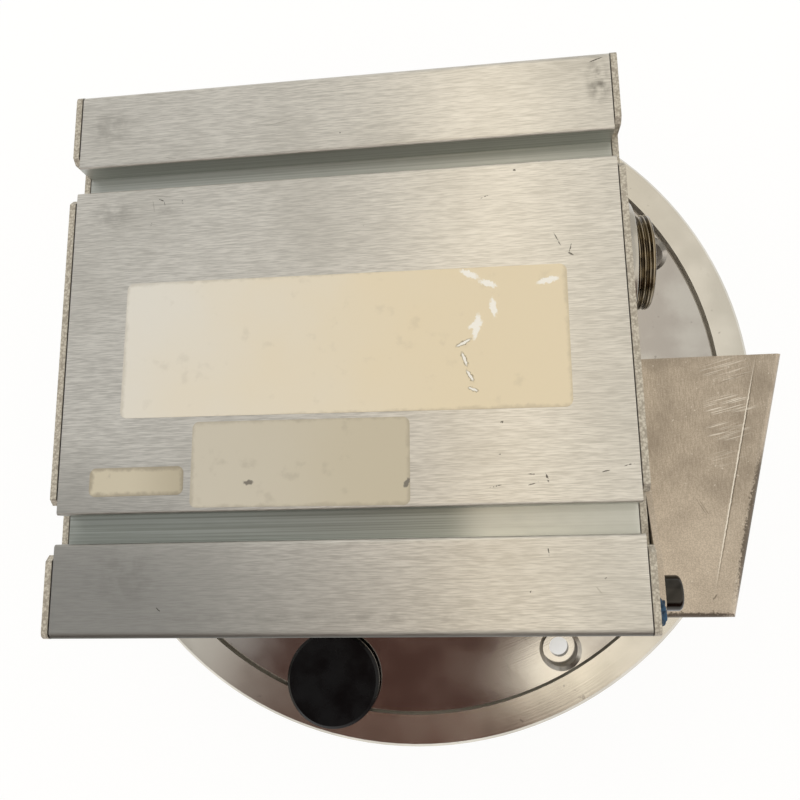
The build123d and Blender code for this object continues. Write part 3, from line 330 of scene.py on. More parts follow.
area_light("ceiling_lamp", **ABOVE, radiance=7.0, color="#ffe9c0")
area_light("far_lamp", **FAR, radiance=1.6, color="#fff3dd")
bpy.context.scene.view_settings.view_transform = "Standard"

sides = [(-1, -1), (1, -1), (1, 1), (-1, 1)]
corners = [(x * FLOOR_SIZE / 2, y * FLOOR_SIZE / 2, cad_low.z) for x, y in sides]
floor_mesh = bpy.data.meshes.new("floor")
floor_mesh.from_pydata(corners, [], [(0, 1, 2, 3)])
floor = bpy.data.objects.new("floor", floor_mesh)
bpy.context.scene.collection.objects.link(floor)
print("floor at", round(cad_low.z / MM, 1), "mm")

# %% [markdown]
# The floor is white seamless paper. Paper that is lit like the pump comes out light grey, so
# what the camera and the mirrors see of it is lifted by a little glow of its own, which keeps
# the pump's shadow. The glow fades out under the flange, where the bolt holes look down on it.

# %% Floor paper
PAPER = "#f4f4f2"
GLOW = 0.8
GLOW_START = 100.0
GLOW_FULL = 150.0
GLOW_STRENGTH = 1.07

material, tree, shader, place = start_material("seamless_paper", Base_Color=linear(PAPER), Roughness=0.9)
radius = add(tree, "length", add(tree, "vector times", place, (1.0, 1.0, 0.0)))
by_camera, by_mirror = (add(tree, "LightPath", out=f"Is {ray} Ray") for ray in ("Camera", "Glossy"))
seen = add(tree, "larger", by_camera, by_mirror)
lift = add(tree, "times", seen, add(tree, "ease", radius, GLOW_START, GLOW_FULL, 0.0, GLOW))
glow = add(tree, "Emission", WHITE, GLOW_STRENGTH)
mixed = add(tree, "MixShader", lift, shader.outputs[0], glow)
tree.links.new(mixed, tree.nodes["Material Output"].inputs["Surface"])
floor_mesh.materials.append(material)
print(material.name, "glows from", GLOW_START, "mm out")

# %% [markdown]
# ## Cover: brushed aluminium extrusion
#
# The cover is an aluminium section, brushed along its length and clear anodised. Brushing
# leaves fine lines, which show as light and dark streaks. The real ones are finer than they are
# drawn here, 0.2 to 0.7 mm apart and 4 to 16 mm long, which is as coarse as they need to be to
# show. Cycles blurs a reflection most along the shader's tangent, and brushed metal spreads it
# across its lines, so the tangent crosses them.
#
# Years of handling leave grey grime towards the corners and short scratches down to the metal's oxide. The
# face is painted darker towards its lower left as shade, and a painted shade runs along its rounded lower
# edge. Each scratch is drawn by its two ends, and is as wide as a pencil line.

# %% Wear helpers
STROKE_DEPTH = 3.0


def streaks(tree, place, length, spacing, axis=0):
    """Noise stretched along one axis: its grains are length by spacing, in mm."""
    scale = [1 / spacing] * 3
    scale[axis] = 1 / length
    return blotches(tree, add(tree, "Mapping", place, Scale=scale), 1.0, 4.0)


def blotches(tree, place, size, detail=3.0):
    """Even noise whose lumps are about this many mm across."""
    return add(tree, "TexNoise", place, Scale=1 / size, Detail=detail)


def near(tree, place, middle, reach):
    """1 at a point and 0 outside an ellipsoid round it: 1 - |(p - middle) / reach|."""
    apart = add(tree, "vector minus", place, [v / MM for v in middle])
    return add(tree, "ease", add(tree, "length", add(tree, "vector over", apart, reach)), 1.0, 0.2)


def drawn(tree, place, ends, width):
    """1 on ragged strokes: each an ellipse about its middle, as long as the stroke, its width in mm."""
    noise = add(tree, "TexNoise", place, Scale=1.6, Detail=3.0, out="Color")
    shake = add(tree, "vector scale", add(tree, "vector minus", noise, (0.5, 0.5, 0.5)), width * 0.8)
    place = add(tree, "vector plus", place, shake)
    total = 0.0
    for start, end in ends:
        run = (end - start) / MM
        turn = (0.0, 0.0, math.atan2(run.y, run.x))
        size = (run.length / 2 + width / 2, width / 2, STROKE_DEPTH)
        local = add(tree, "Mapping", place, (start + end) / 2 / MM, turn, size, vector_type="TEXTURE")
        total = add(tree, "larger", add(tree, "ease", add(tree, "length", local), 1.0, 0.6), total)
    return total


def on_face(*ends, depth=0.0):
    """Turns stroke ends (x, y, x, y) in mm from the face's centre into pairs of points."""
    return [(on_cover(a, b, depth), on_cover(c, d, depth)) for a, b, c, d in ends]


print("wear helpers ready")

# %% Marks on the cover
SCRATCHES = on_face(
    (35.7, -38.2, 38.7, -37.5),
    (44.4, -37.9, 47.4, -37.0),
    (44.7, -35.2, 46.5, -35.3),
    (48.4, -51.8, 48.6, -53.9),
    (66.4, -34.0, 68.9, -33.4),
    (61.5, -35.2, 63.3, -34.8),
    (36.3, 33.6, 38.6, 34.5),
    (53.7, 23.6, 55.4, 19.8),
    (57.9, 20.5, 57.2, 18.1),
    (64.9, 68.6, 68.7, 69.8),
    (-47.5, 39.6, -45.9, 38.8),
    (-45.9, 38.8, -45.7, 37.7),
    (-49.5, 31.9, -49.0, 33.1),
    (-41.1, 38.9, -40.8, 37.7),
    (-43.6, -64.3, -42.6, -65.3),
)
GOUGES = on_face(
    (48.7, -35.0, 49.4, -37.2),
    (39.1, -22.9, 39.5, -22.7),
    (38.4, -30.6, 38.7, -30.6),
    (44.0, -61.6, 44.3, -61.6),
    (60.7, -58.9, 61.0, -58.9),
    (44.9, 40.6, 45.2, 40.6),
    (51.2, 42.5, 51.5, 42.5),
    (57.0, 18.1, 58.1, 17.5),
)
FAINT = on_face(
    (-49.1, 39.5, -48.5, 35.8),
    (-49.9, 40.8, -42.9, 39.8),
    (-46.5, 51.3, -42.9, 50.7),
    (58.5, -60.7, 59.7, -62.2),
    (-20.0, 58.0, -11.0, 59.5),
)
GRIME = [
    (67, 63, 4, 8, 0.8),
    (-62, 61, 8, 7, 0.3),
    (-60, 36, 9, 5, 0.3),
    (-46, 36, 3, 2, 0.4),
    (-52, -57, 12, 10, 0.2),
    (0, -67, 70, 2, 0.15),
]
GRIME_DEPTH = 8.0
print("strokes", len(SCRATCHES) + len(GOUGES) + len(FAINT), "grimy spots", len(GRIME))

# %% Brushed grain and grime
material, tree, shader, place = start_material("brushed_aluminium_extrusion", Metallic=1.0, Anisotropic=0.8)
lines = weigh(tree, streaks(tree, place, 3.6, 0.22), 0.75, streaks(tree, place, 16.0, 0.7), 0.25)
handled = add(tree, "ease", blotches(tree, place, 26.0), 0.42, 0.7)
color = add(tree, "mix", add(tree, "ease", lines, 0.32, 0.68), "#c3c0b9", "#ebe8e1")
color = tint(tree, color, handled, 0.25, "#b3b0a8")

dirt = 0.0
for x, y, wide, high, amount in GRIME:
    spot = near(tree, place, on_cover(x, y), (wide, high, GRIME_DEPTH))
    dirt = add(tree, "larger", add(tree, "times", spot, amount), dirt)
# Painted shade: the face is painted darker towards its lower left.
worn = near(tree, place, on_cover(-66, -70), (85.0, 52.0, 60.0))
color = tint(tree, color, worn, 0.8, "#8f8e8b")
smear = add(tree, "times", dirt, add(tree, "ease", blotches(tree, place, 3.0, 6.0), 0.35, 0.65))
color = add(tree, "mix", smear, color, "#6f6c66")
print(material.name, "nodes so far", len(tree.nodes))

# %% [markdown]
# The bottoms of the two grooves were never brushed: they keep the dull blue-grey skin and the long draw
# lines of the extrusion, painted darker still as the shade inside them. The upper groove is paler, and the
# lower one is painted bright at its right, as light that reaches it there. Whatever lies deeper than a
# fraction of a millimetre under the face counts as groove.

# %% Groove skin and lower edge
GROOVE_START, GROOVE_FULL = 0.3, 0.9
GROOVE_LIGHT_START, GROOVE_LIGHT_FULL = 24.0, 36.0
EDGE_START, EDGE_FULL = 1.9, 0.4

height, across, beside = (add(tree, "SeparateXYZ", place, out=axis) for axis in "ZYX")
sunk = add(tree, "ease", height, face_height / MM - GROOVE_START, face_height / MM - GROOVE_FULL)
upper = add(tree, "ease", across, cover_middle.y / MM - 1, cover_middle.y / MM + 1)
# Painted light: the lower groove's floor is painted bright towards its right.
bright_part = (on_cover(GROOVE_LIGHT_START, 0).x / MM, on_cover(GROOVE_LIGHT_FULL, 0).x / MM)
painted_groove_light = add(tree, "ease", beside, *bright_part, 0.0, 0.62)
painted_groove_light = add(tree, "times", painted_groove_light, add(tree, "minus", 1.0, upper))
drawing = add(tree, "ease", streaks(tree, place, 90.0, 0.4), 0.35, 0.65)
# The skin colours are the unbrushed extrusion, painted darker as shade, the lower groove more.
low_skin_and_shade = add(tree, "mix", drawing, "#9ca099", "#b4b8b3")
high_skin_and_shade = add(tree, "mix", drawing, "#b4b7b1", "#c6c8c3")
skin_and_shade = add(tree, "mix", upper, low_skin_and_shade, high_skin_and_shade)
color = add(tree, "mix", sunk, color, add(tree, "mix", painted_groove_light, skin_and_shade, "#e4e4dd"))
# Painted shade along the rounded lower edge of the face.
edge = cover_low.y / MM
painted_edge_shade = add(tree, "ease", across, edge + EDGE_START, edge + EDGE_FULL, 0.0, 0.75)
color = add(tree, "mix", painted_edge_shade, color, "#4f4a44")
print(material.name, "nodes so far", len(tree.nodes))

# %% Scratches and finish of the cover
FAINT_WIDTH = 0.35
SCRATCH_WIDTH = 0.32
GOUGE_WIDTH = 0.55
FLECK_SPACING = 15.0
FLECK_EDGE, FLECK_CORE = 0.014, 0.009

color = tint(tree, color, drawn(tree, place, FAINT, FAINT_WIDTH), 0.35, "#8a857c")
deep = drawn(tree, place, SCRATCHES, SCRATCH_WIDTH)
deep = add(tree, "larger", deep, drawn(tree, place, GOUGES, GOUGE_WIDTH))
deep = add(tree, "times", deep, add(tree, "ease", blotches(tree, place, 0.6, 2.0), 0.4, 0.5))
flecks = add(tree, "TexVoronoi", place, Scale=1 / FLECK_SPACING)
deep = add(tree, "larger", deep, add(tree, "ease", flecks, FLECK_EDGE, FLECK_CORE))
color = tint(tree, color, deep, 0.9, "#3a3631")
rough = add(tree, "ease", lines, 0.3, 0.7, 0.35, 0.42)
coat(tree, shader, color, rough, add(tree, "minus", lines, deep), 0.006)
tree.links.new(add(tree, "CombineXYZ", 0.0, 1.0, 0.2), shader.inputs["Tangent"])
dress(material, "extruded_aluminium")

# %% [markdown]
# ## End plates and base plate: sheared aluminium sheet
#
# The plates are cut from sheet with a shear: the end plates are 1.7 mm thick. The flat sides stay smooth,
# and the cut edges are torn: bright crumbs with grey pits, about a third of a millimetre across. The torn
# edge is every face that doesn't look along X, the thickness of the end plates. A thin line of painted
# shade lies where they meet the profile.

# %% Sheared aluminium sheet
CRUMB = 0.35
SEAM_START, SEAM_FULL = 0.22, 0.05
plate_low, plate_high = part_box("end_plate_right")
joint = (plate_low.x - cover_middle.x) / MM

material, tree, shader, place = start_material("sheared_aluminium_sheet", Metallic=1.0)
facing = add(tree, "SeparateXYZ", add(tree, "NewGeometry", out="True Normal"), out="X")
torn = add(tree, "ease", add(tree, "unsigned", facing), 0.6, 0.3)
crumbs = add(tree, "TexVoronoi", place, Scale=1 / (2 * CRUMB))
lumps = weigh(tree, crumbs, 0.5, blotches(tree, place, CRUMB, 6.0), 0.6)
edge_color = add(tree, "mix", add(tree, "ease", lumps, 0.35, 0.75), "#dcd7cb", "#b3aca0")
away = add(tree, "minus", add(tree, "SeparateXYZ", place, out="X"), cover_middle.x / MM)
away = add(tree, "unsigned", away)
# Painted shade on the torn edge where the plate meets the profile.
seam_shade = add(tree, "ease", away, joint + SEAM_START, joint + SEAM_FULL, 0.0, 0.8)
edge_color = add(tree, "mix", seam_shade, edge_color, "#4a443d")
side_color = add(tree, "mix", streaks(tree, place, 12.0, 0.4, axis=1), "#b6b4ae", "#d9d6cf")
color = add(tree, "mix", torn, side_color, edge_color)
rough = add(tree, "ease", torn, 0.0, 1.0, 0.36, 0.62)
coat(tree, shader, color, rough, add(tree, "times", lumps, torn), 0.07)
dress(material, "sheet_aluminium")

# %% [markdown]
# ## Mounting flange: turned and polished aluminium
#
# The flange is turned on a lathe, so its marks run round the axis: rings about 0.6 mm apart.
# The recess inside the rim has been turned very finely and mirrors its surroundings, with cloudy blotches
# of painted reflection in its colour. The rim is left a little rougher, and its upright side rougher still.
# The shader's tangent runs round the axis, so each highlight is drawn out along the rings.

# %% Turned aluminium
RIM_WIDTH = 10.8
RING_SPACING = 0.6
RIM_ROUGHER = 0.05
SIDE_ROUGHER = 0.4
flange_low, flange_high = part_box("mounting_flange")
rim_start = (flange_high.x - flange_low.x) / 2 / MM - RIM_WIDTH

material, tree, shader, place = start_material("turned_aluminium", Metallic=1.0, Anisotropic=0.55)
flat_place = add(tree, "vector times", place, (1.0, 1.0, 0.0))
radius = add(tree, "length", flat_place)
on_rim = add(tree, "ease", radius, rim_start - 0.2, rim_start + 0.4)
rings = blotches(tree, add(tree, "CombineXYZ", radius), RING_SPACING)
clouds = blotches(tree, place, 17.0, 5.0)
# Painted reflection: cloudy blotches of colour stand for the mirrored room in the recess.
cloudy_reflection = add(tree, "mix", add(tree, "ease", clouds, 0.38, 0.66), "#b3aea8", "#c4c1bb")
satin = add(tree, "mix", add(tree, "ease", blotches(tree, place, 30.0), 0.4, 0.65), "#cfcabf", "#e2ddd2")
specks = add(tree, "ease", blotches(tree, place, 2.2, 5.0), 0.68, 0.74)
color = tint(tree, add(tree, "mix", on_rim, cloudy_reflection, satin), specks, 0.35, "#6f6a62")
polish = add(tree, "ease", clouds, 0.35, 0.7, 0.09, 0.12)
rough = add(tree, "plus", polish, add(tree, "times", on_rim, RIM_ROUGHER))
facing = add(tree, "SeparateXYZ", add(tree, "NewGeometry", out="True Normal"), out="Z")
upright = add(tree, "ease", add(tree, "unsigned", facing), 0.8, 0.5, 0.0, SIDE_ROUGHER)
coat(tree, shader, color, add(tree, "plus", rough, upright), rings, 0.006)
spoke = add(tree, "direction", flat_place)
tree.links.new(add(tree, "cross", (0.0, 0.0, 1.0), spoke), shader.inputs["Tangent"])
dress(material, "turned_aluminium")

# %% [markdown]
# ## Bracket: folded stainless sheet
#
# The bracket is 1.4 mm stainless sheet, ground in its short direction before it was folded. The grain is
# fine, a quarter of a millimetre, and handling has left warm grey patches and bright specks, with a cleaner
# part at the lower left of its panel. The panel is painted dark along its lower and its right edge, as
# shade on the bends there. Across it run one long scribed line, bright with a dark burr beside it, and a
# few fine diagonal scratches, and above its middle are some rubbed ones.

# %% Marks on the bracket
BRACKET_FRONT = -20.0
SCRIBE = on_face((105.2, -2.5, 88.6, -66.0), depth=BRACKET_FRONT)
BURR = on_face((105.5, -2.6, 88.9, -66.1), (88.7, -65.2, 89.8, -63.9), depth=BRACKET_FRONT)
RUBS = [(97, -17.5, 8, 3.5, 0.9), (96, -24, 7, 3, 0.7), (97, -8, 8, 4, 0.5), (95, -31, 6, 3, 0.3)]
RUB_DEPTH = 6.0
RUB_SLOPE = math.radians(-14)
DIAGONAL = on_face(
    (86.4, -40.0, 89.3, -45.3),
    (87.4, -40.9, 90.0, -45.4),
    (93.0, -12.4, 103.5, -8.8),
    depth=BRACKET_FRONT,
)
foot = (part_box("bracket")[0].y - cover_middle.y) / MM
# Painted shade: the panel darkens along the bends at its lower and right edges.
PAINTED_BEND_SHADE = on_face((66.0, foot, 97.0, foot), (94.0, -68.0, 104.6, -27.0), depth=BRACKET_FRONT)
print("bracket's lower edge in mm from the face's centre", round(foot, 2))

# %% Ground stainless sheet
EDGE_WIDTH = 3.2
SCRIBE_WIDTH = 0.4
DIAGONAL_WIDTH = 0.25

material, tree, shader, place = start_material("ground_stainless_sheet", Metallic=1.0, Anisotropic=0.4)
grain = streaks(tree, place, 3.0, 0.25, axis=1)
patches = blotches(tree, place, 11.0, 5.0)
color = add(tree, "mix", add(tree, "ease", grain, 0.3, 0.7), "#b0a494", "#c6b9a9")
color = add(tree, "mix", add(tree, "ease", patches, 0.42, 0.7, 0.0, 0.45), color, "#8f8476")
clean = near(tree, place, on_cover(82, -62, BRACKET_FRONT), (30.0, 34.0, 60.0))
color = tint(tree, color, clean, 0.5, "#e2d5c4")
dots = add(tree, "ease", blotches(tree, place, 0.28, 2.0), 0.4, 0.6, 0.0, 0.35)
color = add(tree, "mix", dots, color, "#8f8374")
# Painted shade along the lower and right bends.
color = tint(tree, color, drawn(tree, place, PAINTED_BEND_SHADE, EDGE_WIDTH), 0.75, "#463d34")
specks = add(tree, "ease", blotches(tree, place, 0.8), 0.68, 0.74, 0.0, 0.5)
color = add(tree, "mix", specks, color, "#efe8dc")
diagonal = add(tree, "times", drawn(tree, place, DIAGONAL, DIAGONAL_WIDTH), 0.6)
burr = add(tree, "larger", drawn(tree, place, BURR, SCRIBE_WIDTH), diagonal)
color = tint(tree, color, burr, 0.6, "#5a5146")

bright = drawn(tree, place, SCRIBE, SCRIBE_WIDTH)
level = add(tree, "Mapping", place, Rotation=(0.0, 0.0, RUB_SLOPE))
strokes = add(tree, "ease", streaks(tree, level, 9.0, 0.3), 0.5, 0.64)
for x, y, wide, high, amount in RUBS:
    spot = near(tree, place, on_cover(x, y, BRACKET_FRONT), (wide, high, RUB_DEPTH))
    spot = add(tree, "times", add(tree, "ease", spot, 0.0, 0.5), strokes)
    bright = add(tree, "larger", add(tree, "times", spot, amount), bright)
color = add(tree, "mix", bright, color, "#efe8dc")
rough = add(tree, "ease", patches, 0.3, 0.7, 0.36, 0.5)
coat(tree, shader, color, rough, add(tree, "minus", grain, bright), 0.015)
normal = add(tree, "NewGeometry", out="Normal")
tree.links.new(add(tree, "cross", normal, (1.0, 0.0, 0.0)), shader.inputs["Tangent"])
dress(material, "bracket_steel")

# %% [markdown]
# ## Machined, milled and ground parts
#
# The parts below the flange and inside the pump are bare machined metal. Turned parts carry
# rings that follow the tool's feed, a few tenths of a millimetre apart, and milled parts a
# cloudy grain. One function makes this family, because they differ only in colour, polish and
# the size of their marks.


# %% Machined metal family
def machined(name, slot, dark, light, feed, polish, depth=0.01):
    """Bare metal with turning marks: noise of the height and radius, stepped once per feed in mm."""
    material, tree, shader, place = start_material(name, Metallic=1.0)
    radius = add(tree, "length", add(tree, "vector times", place, (1.0, 1.0, 0.0)))
    along_feed = add(tree, "CombineXYZ", radius, add(tree, "SeparateXYZ", place, out="Z"))
    marks = blotches(tree, along_feed, feed, 2.0)
    shade = weigh(tree, marks, 0.55, blotches(tree, place, 20.0, 4.0), 0.45)
    color = add(tree, "mix", add(tree, "ease", shade, 0.36, 0.64), dark, light)
    coat(tree, shader, color, add(tree, "ease", shade, 0.3, 0.7, polish, polish + 0.12), marks, depth)
    dress(material, slot)


machined("machined_aluminium", "machined_aluminium", "#bdbdbb", "#dedddA", 0.5, 0.3)
machined("spacer_and_stator_aluminium", "stator_aluminium", "#adaead", "#cfcfce", 0.4, 0.34)
machined("milled_rotor_aluminium", "rotor_aluminium", "#a9acb0", "#cdd0d4", 0.35, 0.26)
machined("turned_stainless_port", "port_steel", "#a8a49e", "#cbc8c2", 0.4, 0.24)
machined("ground_shaft_steel", "shaft_steel", "#9a9896", "#bdbbb8", 0.25, 0.2)
machined("lapped_bearing_steel", "race_steel", "#a7a6a4", "#c9c8c6", 0.3, 0.14, 0.004)
machined("banded_magnet", "magnet", "#76777a", "#96979a", 0.6, 0.35)
machined("core_sheet_steel", "lamination_steel", "#4e4f54", "#77787d", 0.5, 0.5, 0.08)
machined("etched_guard_steel", "guard_steel", "#9b9a98", "#c2c1be", 0.7, 0.4)
machined("zinc_plated_screws", "steel_screws", "#aaa9a2", "#d2d1c8", 0.4, 0.3)
machined("dark_nickel_screw", "cap_screw_steel", "#35332f", "#45423e", 3.0, 0.1, 0.001)
machined("gilt_contacts", "contact_brass", "#c19a45", "#e3c070", 0.4, 0.25)

# %% [markdown]
# ## Mouldings, rubber and windings
#
# The plug, the connector's insert and the bearing cages are moulded plastics, with the light grain that a
# spark-eroded mould leaves. It is drawn about 0.3 mm across, coarser than the real one, so that it shows.
# The O-rings are matt black fluoroelastomer, the balls are glossy ground ceramic, and the coils are
# enamelled copper wire, whose turns show as stripes 0.6 mm wide: painted shade between the turns and a
# painted highlight along each.


# %% Moulded and soft parts
def moulded(name, slot, dark, light, grain, roughness, depth, **sockets):
    """Plastic or rubber with an even grain of a given size in mm and a slow change of shade."""
    material, tree, shader, place = start_material(name, **sockets)
    shade = blotches(tree, place, 9.0, 4.0)
    color = add(tree, "mix", add(tree, "ease", shade, 0.35, 0.68), dark, light)
    rough = add(tree, "ease", shade, 0.3, 0.7, roughness - 0.05, roughness + 0.07)
    coat(tree, shader, color, rough, blotches(tree, place, grain, 2.0), depth)
    dress(material, slot)


PLUG_SHINE = {"IOR": 1.5, "Specular_IOR_Level": 0.2}
moulded("moulded_black_plug", "plug_plastic", "#060608", "#0b0c0f", 0.3, 0.24, 0.01, **PLUG_SHINE)
moulded("connector_insert_plastic", "connector_plastic", "#121213", "#1d1d1e", 0.25, 0.5, 0.01, IOR=1.55)
moulded("fluoroelastomer", "seal_rubber", "#151414", "#221f1e", 0.4, 0.55, 0.02, IOR=1.42)
moulded("phenolic_cage", "cage_plastic", "#7a4f28", "#996a3c", 0.5, 0.55, 0.02, IOR=1.55)
moulded("silicon_nitride_balls", "ball_ceramic", "#1c1c1f", "#2a2a2e", 0.8, 0.15, 0.001, IOR=2.0)

# %% Enamelled wire
WIRE = 0.6
ENAMEL = {"Coat_Weight": 0.6, "Coat_Roughness": 0.2}

material, tree, shader, place = start_material("enamelled_copper_wire", Metallic=1.0, **ENAMEL)
# Painted shade between the turns and painted highlight along their crests.
turns = add(tree, "TexWave", place, Scale=1 / WIRE / 3.0, Distortion=2.0, bands_direction="Z", out="Fac")
color = add(tree, "mix", turns, "#7c3d17", "#c9763a")
coat(tree, shader, color, add(tree, "ease", turns, 0.0, 1.0, 0.42, 0.28), turns, 0.2)
dress(material, "winding_copper")

# %% [markdown]
# ## New pieces as grids
#
# Every new piece is a grid of points over two parameters. One helper turns such a grid into a
# mesh: neighbouring points become the corners of a quad. The columns always close on
# themselves, and the rows may. Points that fall together at a pole are merged, and then the
# faces are turned outwards.


# %% Grid to mesh
def grid_piece(name, points, wrap_rows=False):
    """Mesh of a (rows, columns, 3) array in metres: quad (i, j) joins rows i, i+1 and columns j, j+1."""
    rows, columns, _ = points.shape
    i, j = np.meshgrid(np.arange(rows - (not wrap_rows)), np.arange(columns), indexing="ij")
    below, beside = (i + 1) % rows, (j + 1) % columns
    quads = [i * columns + j, below * columns + j, below * columns + beside, i * columns + beside]
    mesh = bpy.data.meshes.new(name)
    mesh.from_pydata(points.reshape(-1, 3).tolist(), [], np.stack(quads, axis=-1).reshape(-1, 4).tolist())
    shell = bmesh.new()
    shell.from_mesh(mesh)
    bmesh.ops.remove_doubles(shell, verts=shell.verts, dist=1e-7)
    bmesh.ops.recalc_face_normals(shell, faces=shell.faces)
    shell.to_mesh(mesh)
    shell.free()
    piece = bpy.data.objects.new(name, mesh)
    bpy.context.scene.collection.objects.link(piece)
    print(name, "faces", len(mesh.polygons))
    return piece


def smooth(piece, angle):
    """Smooth shading, with edges sharper than an angle in radians kept hard."""
    mesh = piece.data
    mesh.polygons.foreach_set("use_smooth", np.ones(len(mesh.polygons), bool))
    mesh.set_sharp_from_angle(angle=angle)


print("grid helpers ready")

# %% [markdown]
# ## Supply connector
#
# The connector is a brass shell with a dark nickel plate. Its fine thread has a pitch of
# 1.3 mm and starts at a plain collar. The solid from the CAD is plain, so the shell is
# worked out again here with its thread: a profile carried round the axis, whose radius drops
# and rises once per pitch and moves on by one pitch per turn. Lengths run along X from the
# back of the collar.

# %% Threaded connector shell
shell_low, shell_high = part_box("connector_shell")
shell_axis = Vector((0.0, (shell_low.y + shell_high.y) / 2, (shell_low.z + shell_high.z) / 2))
PITCH = 1.3
THREAD_DEPTH = 0.55
TAIL = 9.0
REACH = 9.8
THREAD_RADIUS = 13.0
CREST_RADIUS = THREAD_RADIUS + 0.03
BORE_RADIUS = 10.8
COLLAR_RADIUS = 17.0
COLLAR_THICKNESS = 4.4
THREAD_END = 9.0
PER_PITCH = 10
ROUND = 0.2
FADE = 0.4
AROUND = 96


def thread_cut(along, angle):
    """Depth of the thread in mm: a rounded V that moves on by one pitch per turn, faded at both ends."""
    phase = along / PITCH - angle / (2 * np.pi)
    groove = (0.5 - 0.5 * np.cos(2 * np.pi * phase)) ** 0.8
    fade = np.clip((along - COLLAR_THICKNESS) / FADE, 0, 1) * np.clip((THREAD_END - along) / FADE, 0, 1)
    return THREAD_DEPTH * groove * fade


def shell_profile():
    """Closed outline of the shell in mm, as rows of (distance along X, radius)."""
    collar, crest = COLLAR_THICKNESS, CREST_RADIUS
    steps = int((THREAD_END - collar) / PITCH * PER_PITCH)
    run = np.linspace(collar, THREAD_END, steps)
    bore = [[REACH, BORE_RADIUS + 0.3], [REACH - 0.3, BORE_RADIUS], [-TAIL, BORE_RADIUS]]
    back = [[-TAIL, THREAD_RADIUS], [0.0, THREAD_RADIUS]]
    rise = [[0.0, COLLAR_RADIUS - ROUND], [ROUND, COLLAR_RADIUS]]
    fall = [[collar - ROUND, COLLAR_RADIUS], [collar, COLLAR_RADIUS - ROUND], [collar, crest]]
    threads = np.column_stack([run, np.full(steps, crest)])[1:]
    lip = [[REACH - 0.8, crest], [REACH - 0.25, crest - 0.2], [REACH, crest - 0.6]]
    return np.vstack([bore, back, rise, fall, threads, lip])


def threaded_shell():
    """The profile turned round the connector's axis, less the thread's cut at the crests."""
    profile = shell_profile()
    angle = np.linspace(0, 2 * np.pi, AROUND, endpoint=False)
    along = np.repeat(profile[:, :1], AROUND, axis=1)
    radius = np.repeat(profile[:, 1:], AROUND, axis=1)
    on_thread = np.abs(radius - CREST_RADIUS) < 0.001
    radius = radius - on_thread * thread_cut(along, angle[None, :])
    x = shell_high.x - (REACH - along) * MM
    y = shell_axis.y + radius * MM * np.cos(angle)
    z = shell_axis.z + radius * MM * np.sin(angle)
    return np.stack([x, y, z], axis=-1)


connector = grid_piece("connector_thread", threaded_shell(), wrap_rows=True)
smooth(connector, 0.9)
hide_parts("connector_shell")
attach(connector, "casing")

# %% [markdown]
# Dark nickel is a thin glossy plate, almost black where it mirrors dark things and warm gold where it
# catches a lamp. The crests are painted brighter, a painted highlight along the thread, and the collar is
# worn to light grey.

# %% Dark nickel plate
material, tree, shader, place = start_material("dark_nickel_plate", Metallic=1.0)
from_axis = add(tree, "vector minus", place, shell_axis / MM)
radius = add(tree, "length", add(tree, "vector times", from_axis, (0.0, 1.0, 1.0)))
# Painted highlight along the thread's crests.
crest = add(tree, "ease", radius, THREAD_RADIUS - 0.12, THREAD_RADIUS + 0.02)
tarnish = blotches(tree, place, 3.0, 5.0)
color = add(tree, "mix", add(tree, "ease", tarnish, 0.35, 0.65), "#4d4438", "#74674f")
color = tint(tree, color, crest, 0.75, "#b9ad98")
on_collar = add(tree, "ease", radius, THREAD_RADIUS + 0.3, THREAD_RADIUS + 0.6)
color = add(tree, "mix", on_collar, color, "#b5b0a6")
coat(tree, shader, color, add(tree, "ease", tarnish, 0.3, 0.7, 0.14, 0.26), tarnish, 0.01)
for piece in (connector, nodes["connector_shell"]):
    piece.data.materials.clear()
    piece.data.materials.append(material)
print(material.name, "->", connector.name)

# %% [markdown]
# ## Labels
#
# Three labels are stuck to the face: a wide rating label, a smaller one below it and a narrow
# one at the left. They are printed polyester film, 0.1 mm thick, with rounded corners. Here
# they are blank film. The two larger ones lie a little askew, as labels put on by hand do.

# %% Label outlines
LABEL_THICKNESS = 0.1
LABEL_BEVEL = 0.08
LABEL_HEIGHTS = (0.0, 0.0, 0.7, 1.0, 1.0)
ASKEW = math.radians(-0.63)


def rounded_outline(width, height, radius, per_corner=8):
    """Rectangle with round corners: each corner is a quarter circle about its own centre, in mm."""
    turn = np.linspace(0, np.pi / 2, per_corner)
    start = np.arange(4)[:, None] * np.pi / 2
    angle = (start + turn).ravel()
    side_x = np.repeat([1, -1, -1, 1], per_corner) * (width / 2 - radius)
    side_y = np.repeat([1, 1, -1, -1], per_corner) * (height / 2 - radius)
    return np.column_stack([side_x + radius * np.cos(angle), side_y + radius * np.sin(angle)])


def label_piece(name, left, right, bottom, top, radius, turned):
    """Thin plate turned by an angle: its outline drawn in to the middle in rings, its top edge rounded."""
    outline = rounded_outline(right - left, top - bottom, radius)
    spin = np.array([[math.cos(turned), -math.sin(turned)], [math.sin(turned), math.cos(turned)]])
    outline = outline @ spin.T
    reach = np.hypot(outline[:, 0], outline[:, 1])
    scale = np.stack([0 * reach, 1 + 0 * reach, 1 + 0 * reach, 1 - LABEL_BEVEL / reach, 0 * reach])
    height = np.array(LABEL_HEIGHTS) * LABEL_THICKNESS
    middle = on_cover((left + right) / 2, (bottom + top) / 2)
    flat = scale[:, :, None] * outline * MM + np.array([middle.x, middle.y])
    tall = np.repeat((face_height + height * MM)[:, None], len(outline), axis=1)
    piece = grid_piece(name, np.concatenate([flat, tall[:, :, None]], axis=-1))
    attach(piece, "casing")
    return piece


rating_label = label_piece("rating_label", -54.9, 56.2, -19.2, 16.0, 1.8, ASKEW)
part_label = label_piece("part_label", -36.2, 17.4, -41.35, -20.45, 1.6, ASKEW)
narrow_label = label_piece("narrow_label", -62.1, -38.1, -37.9, -30.9, 1.6, 0.0)
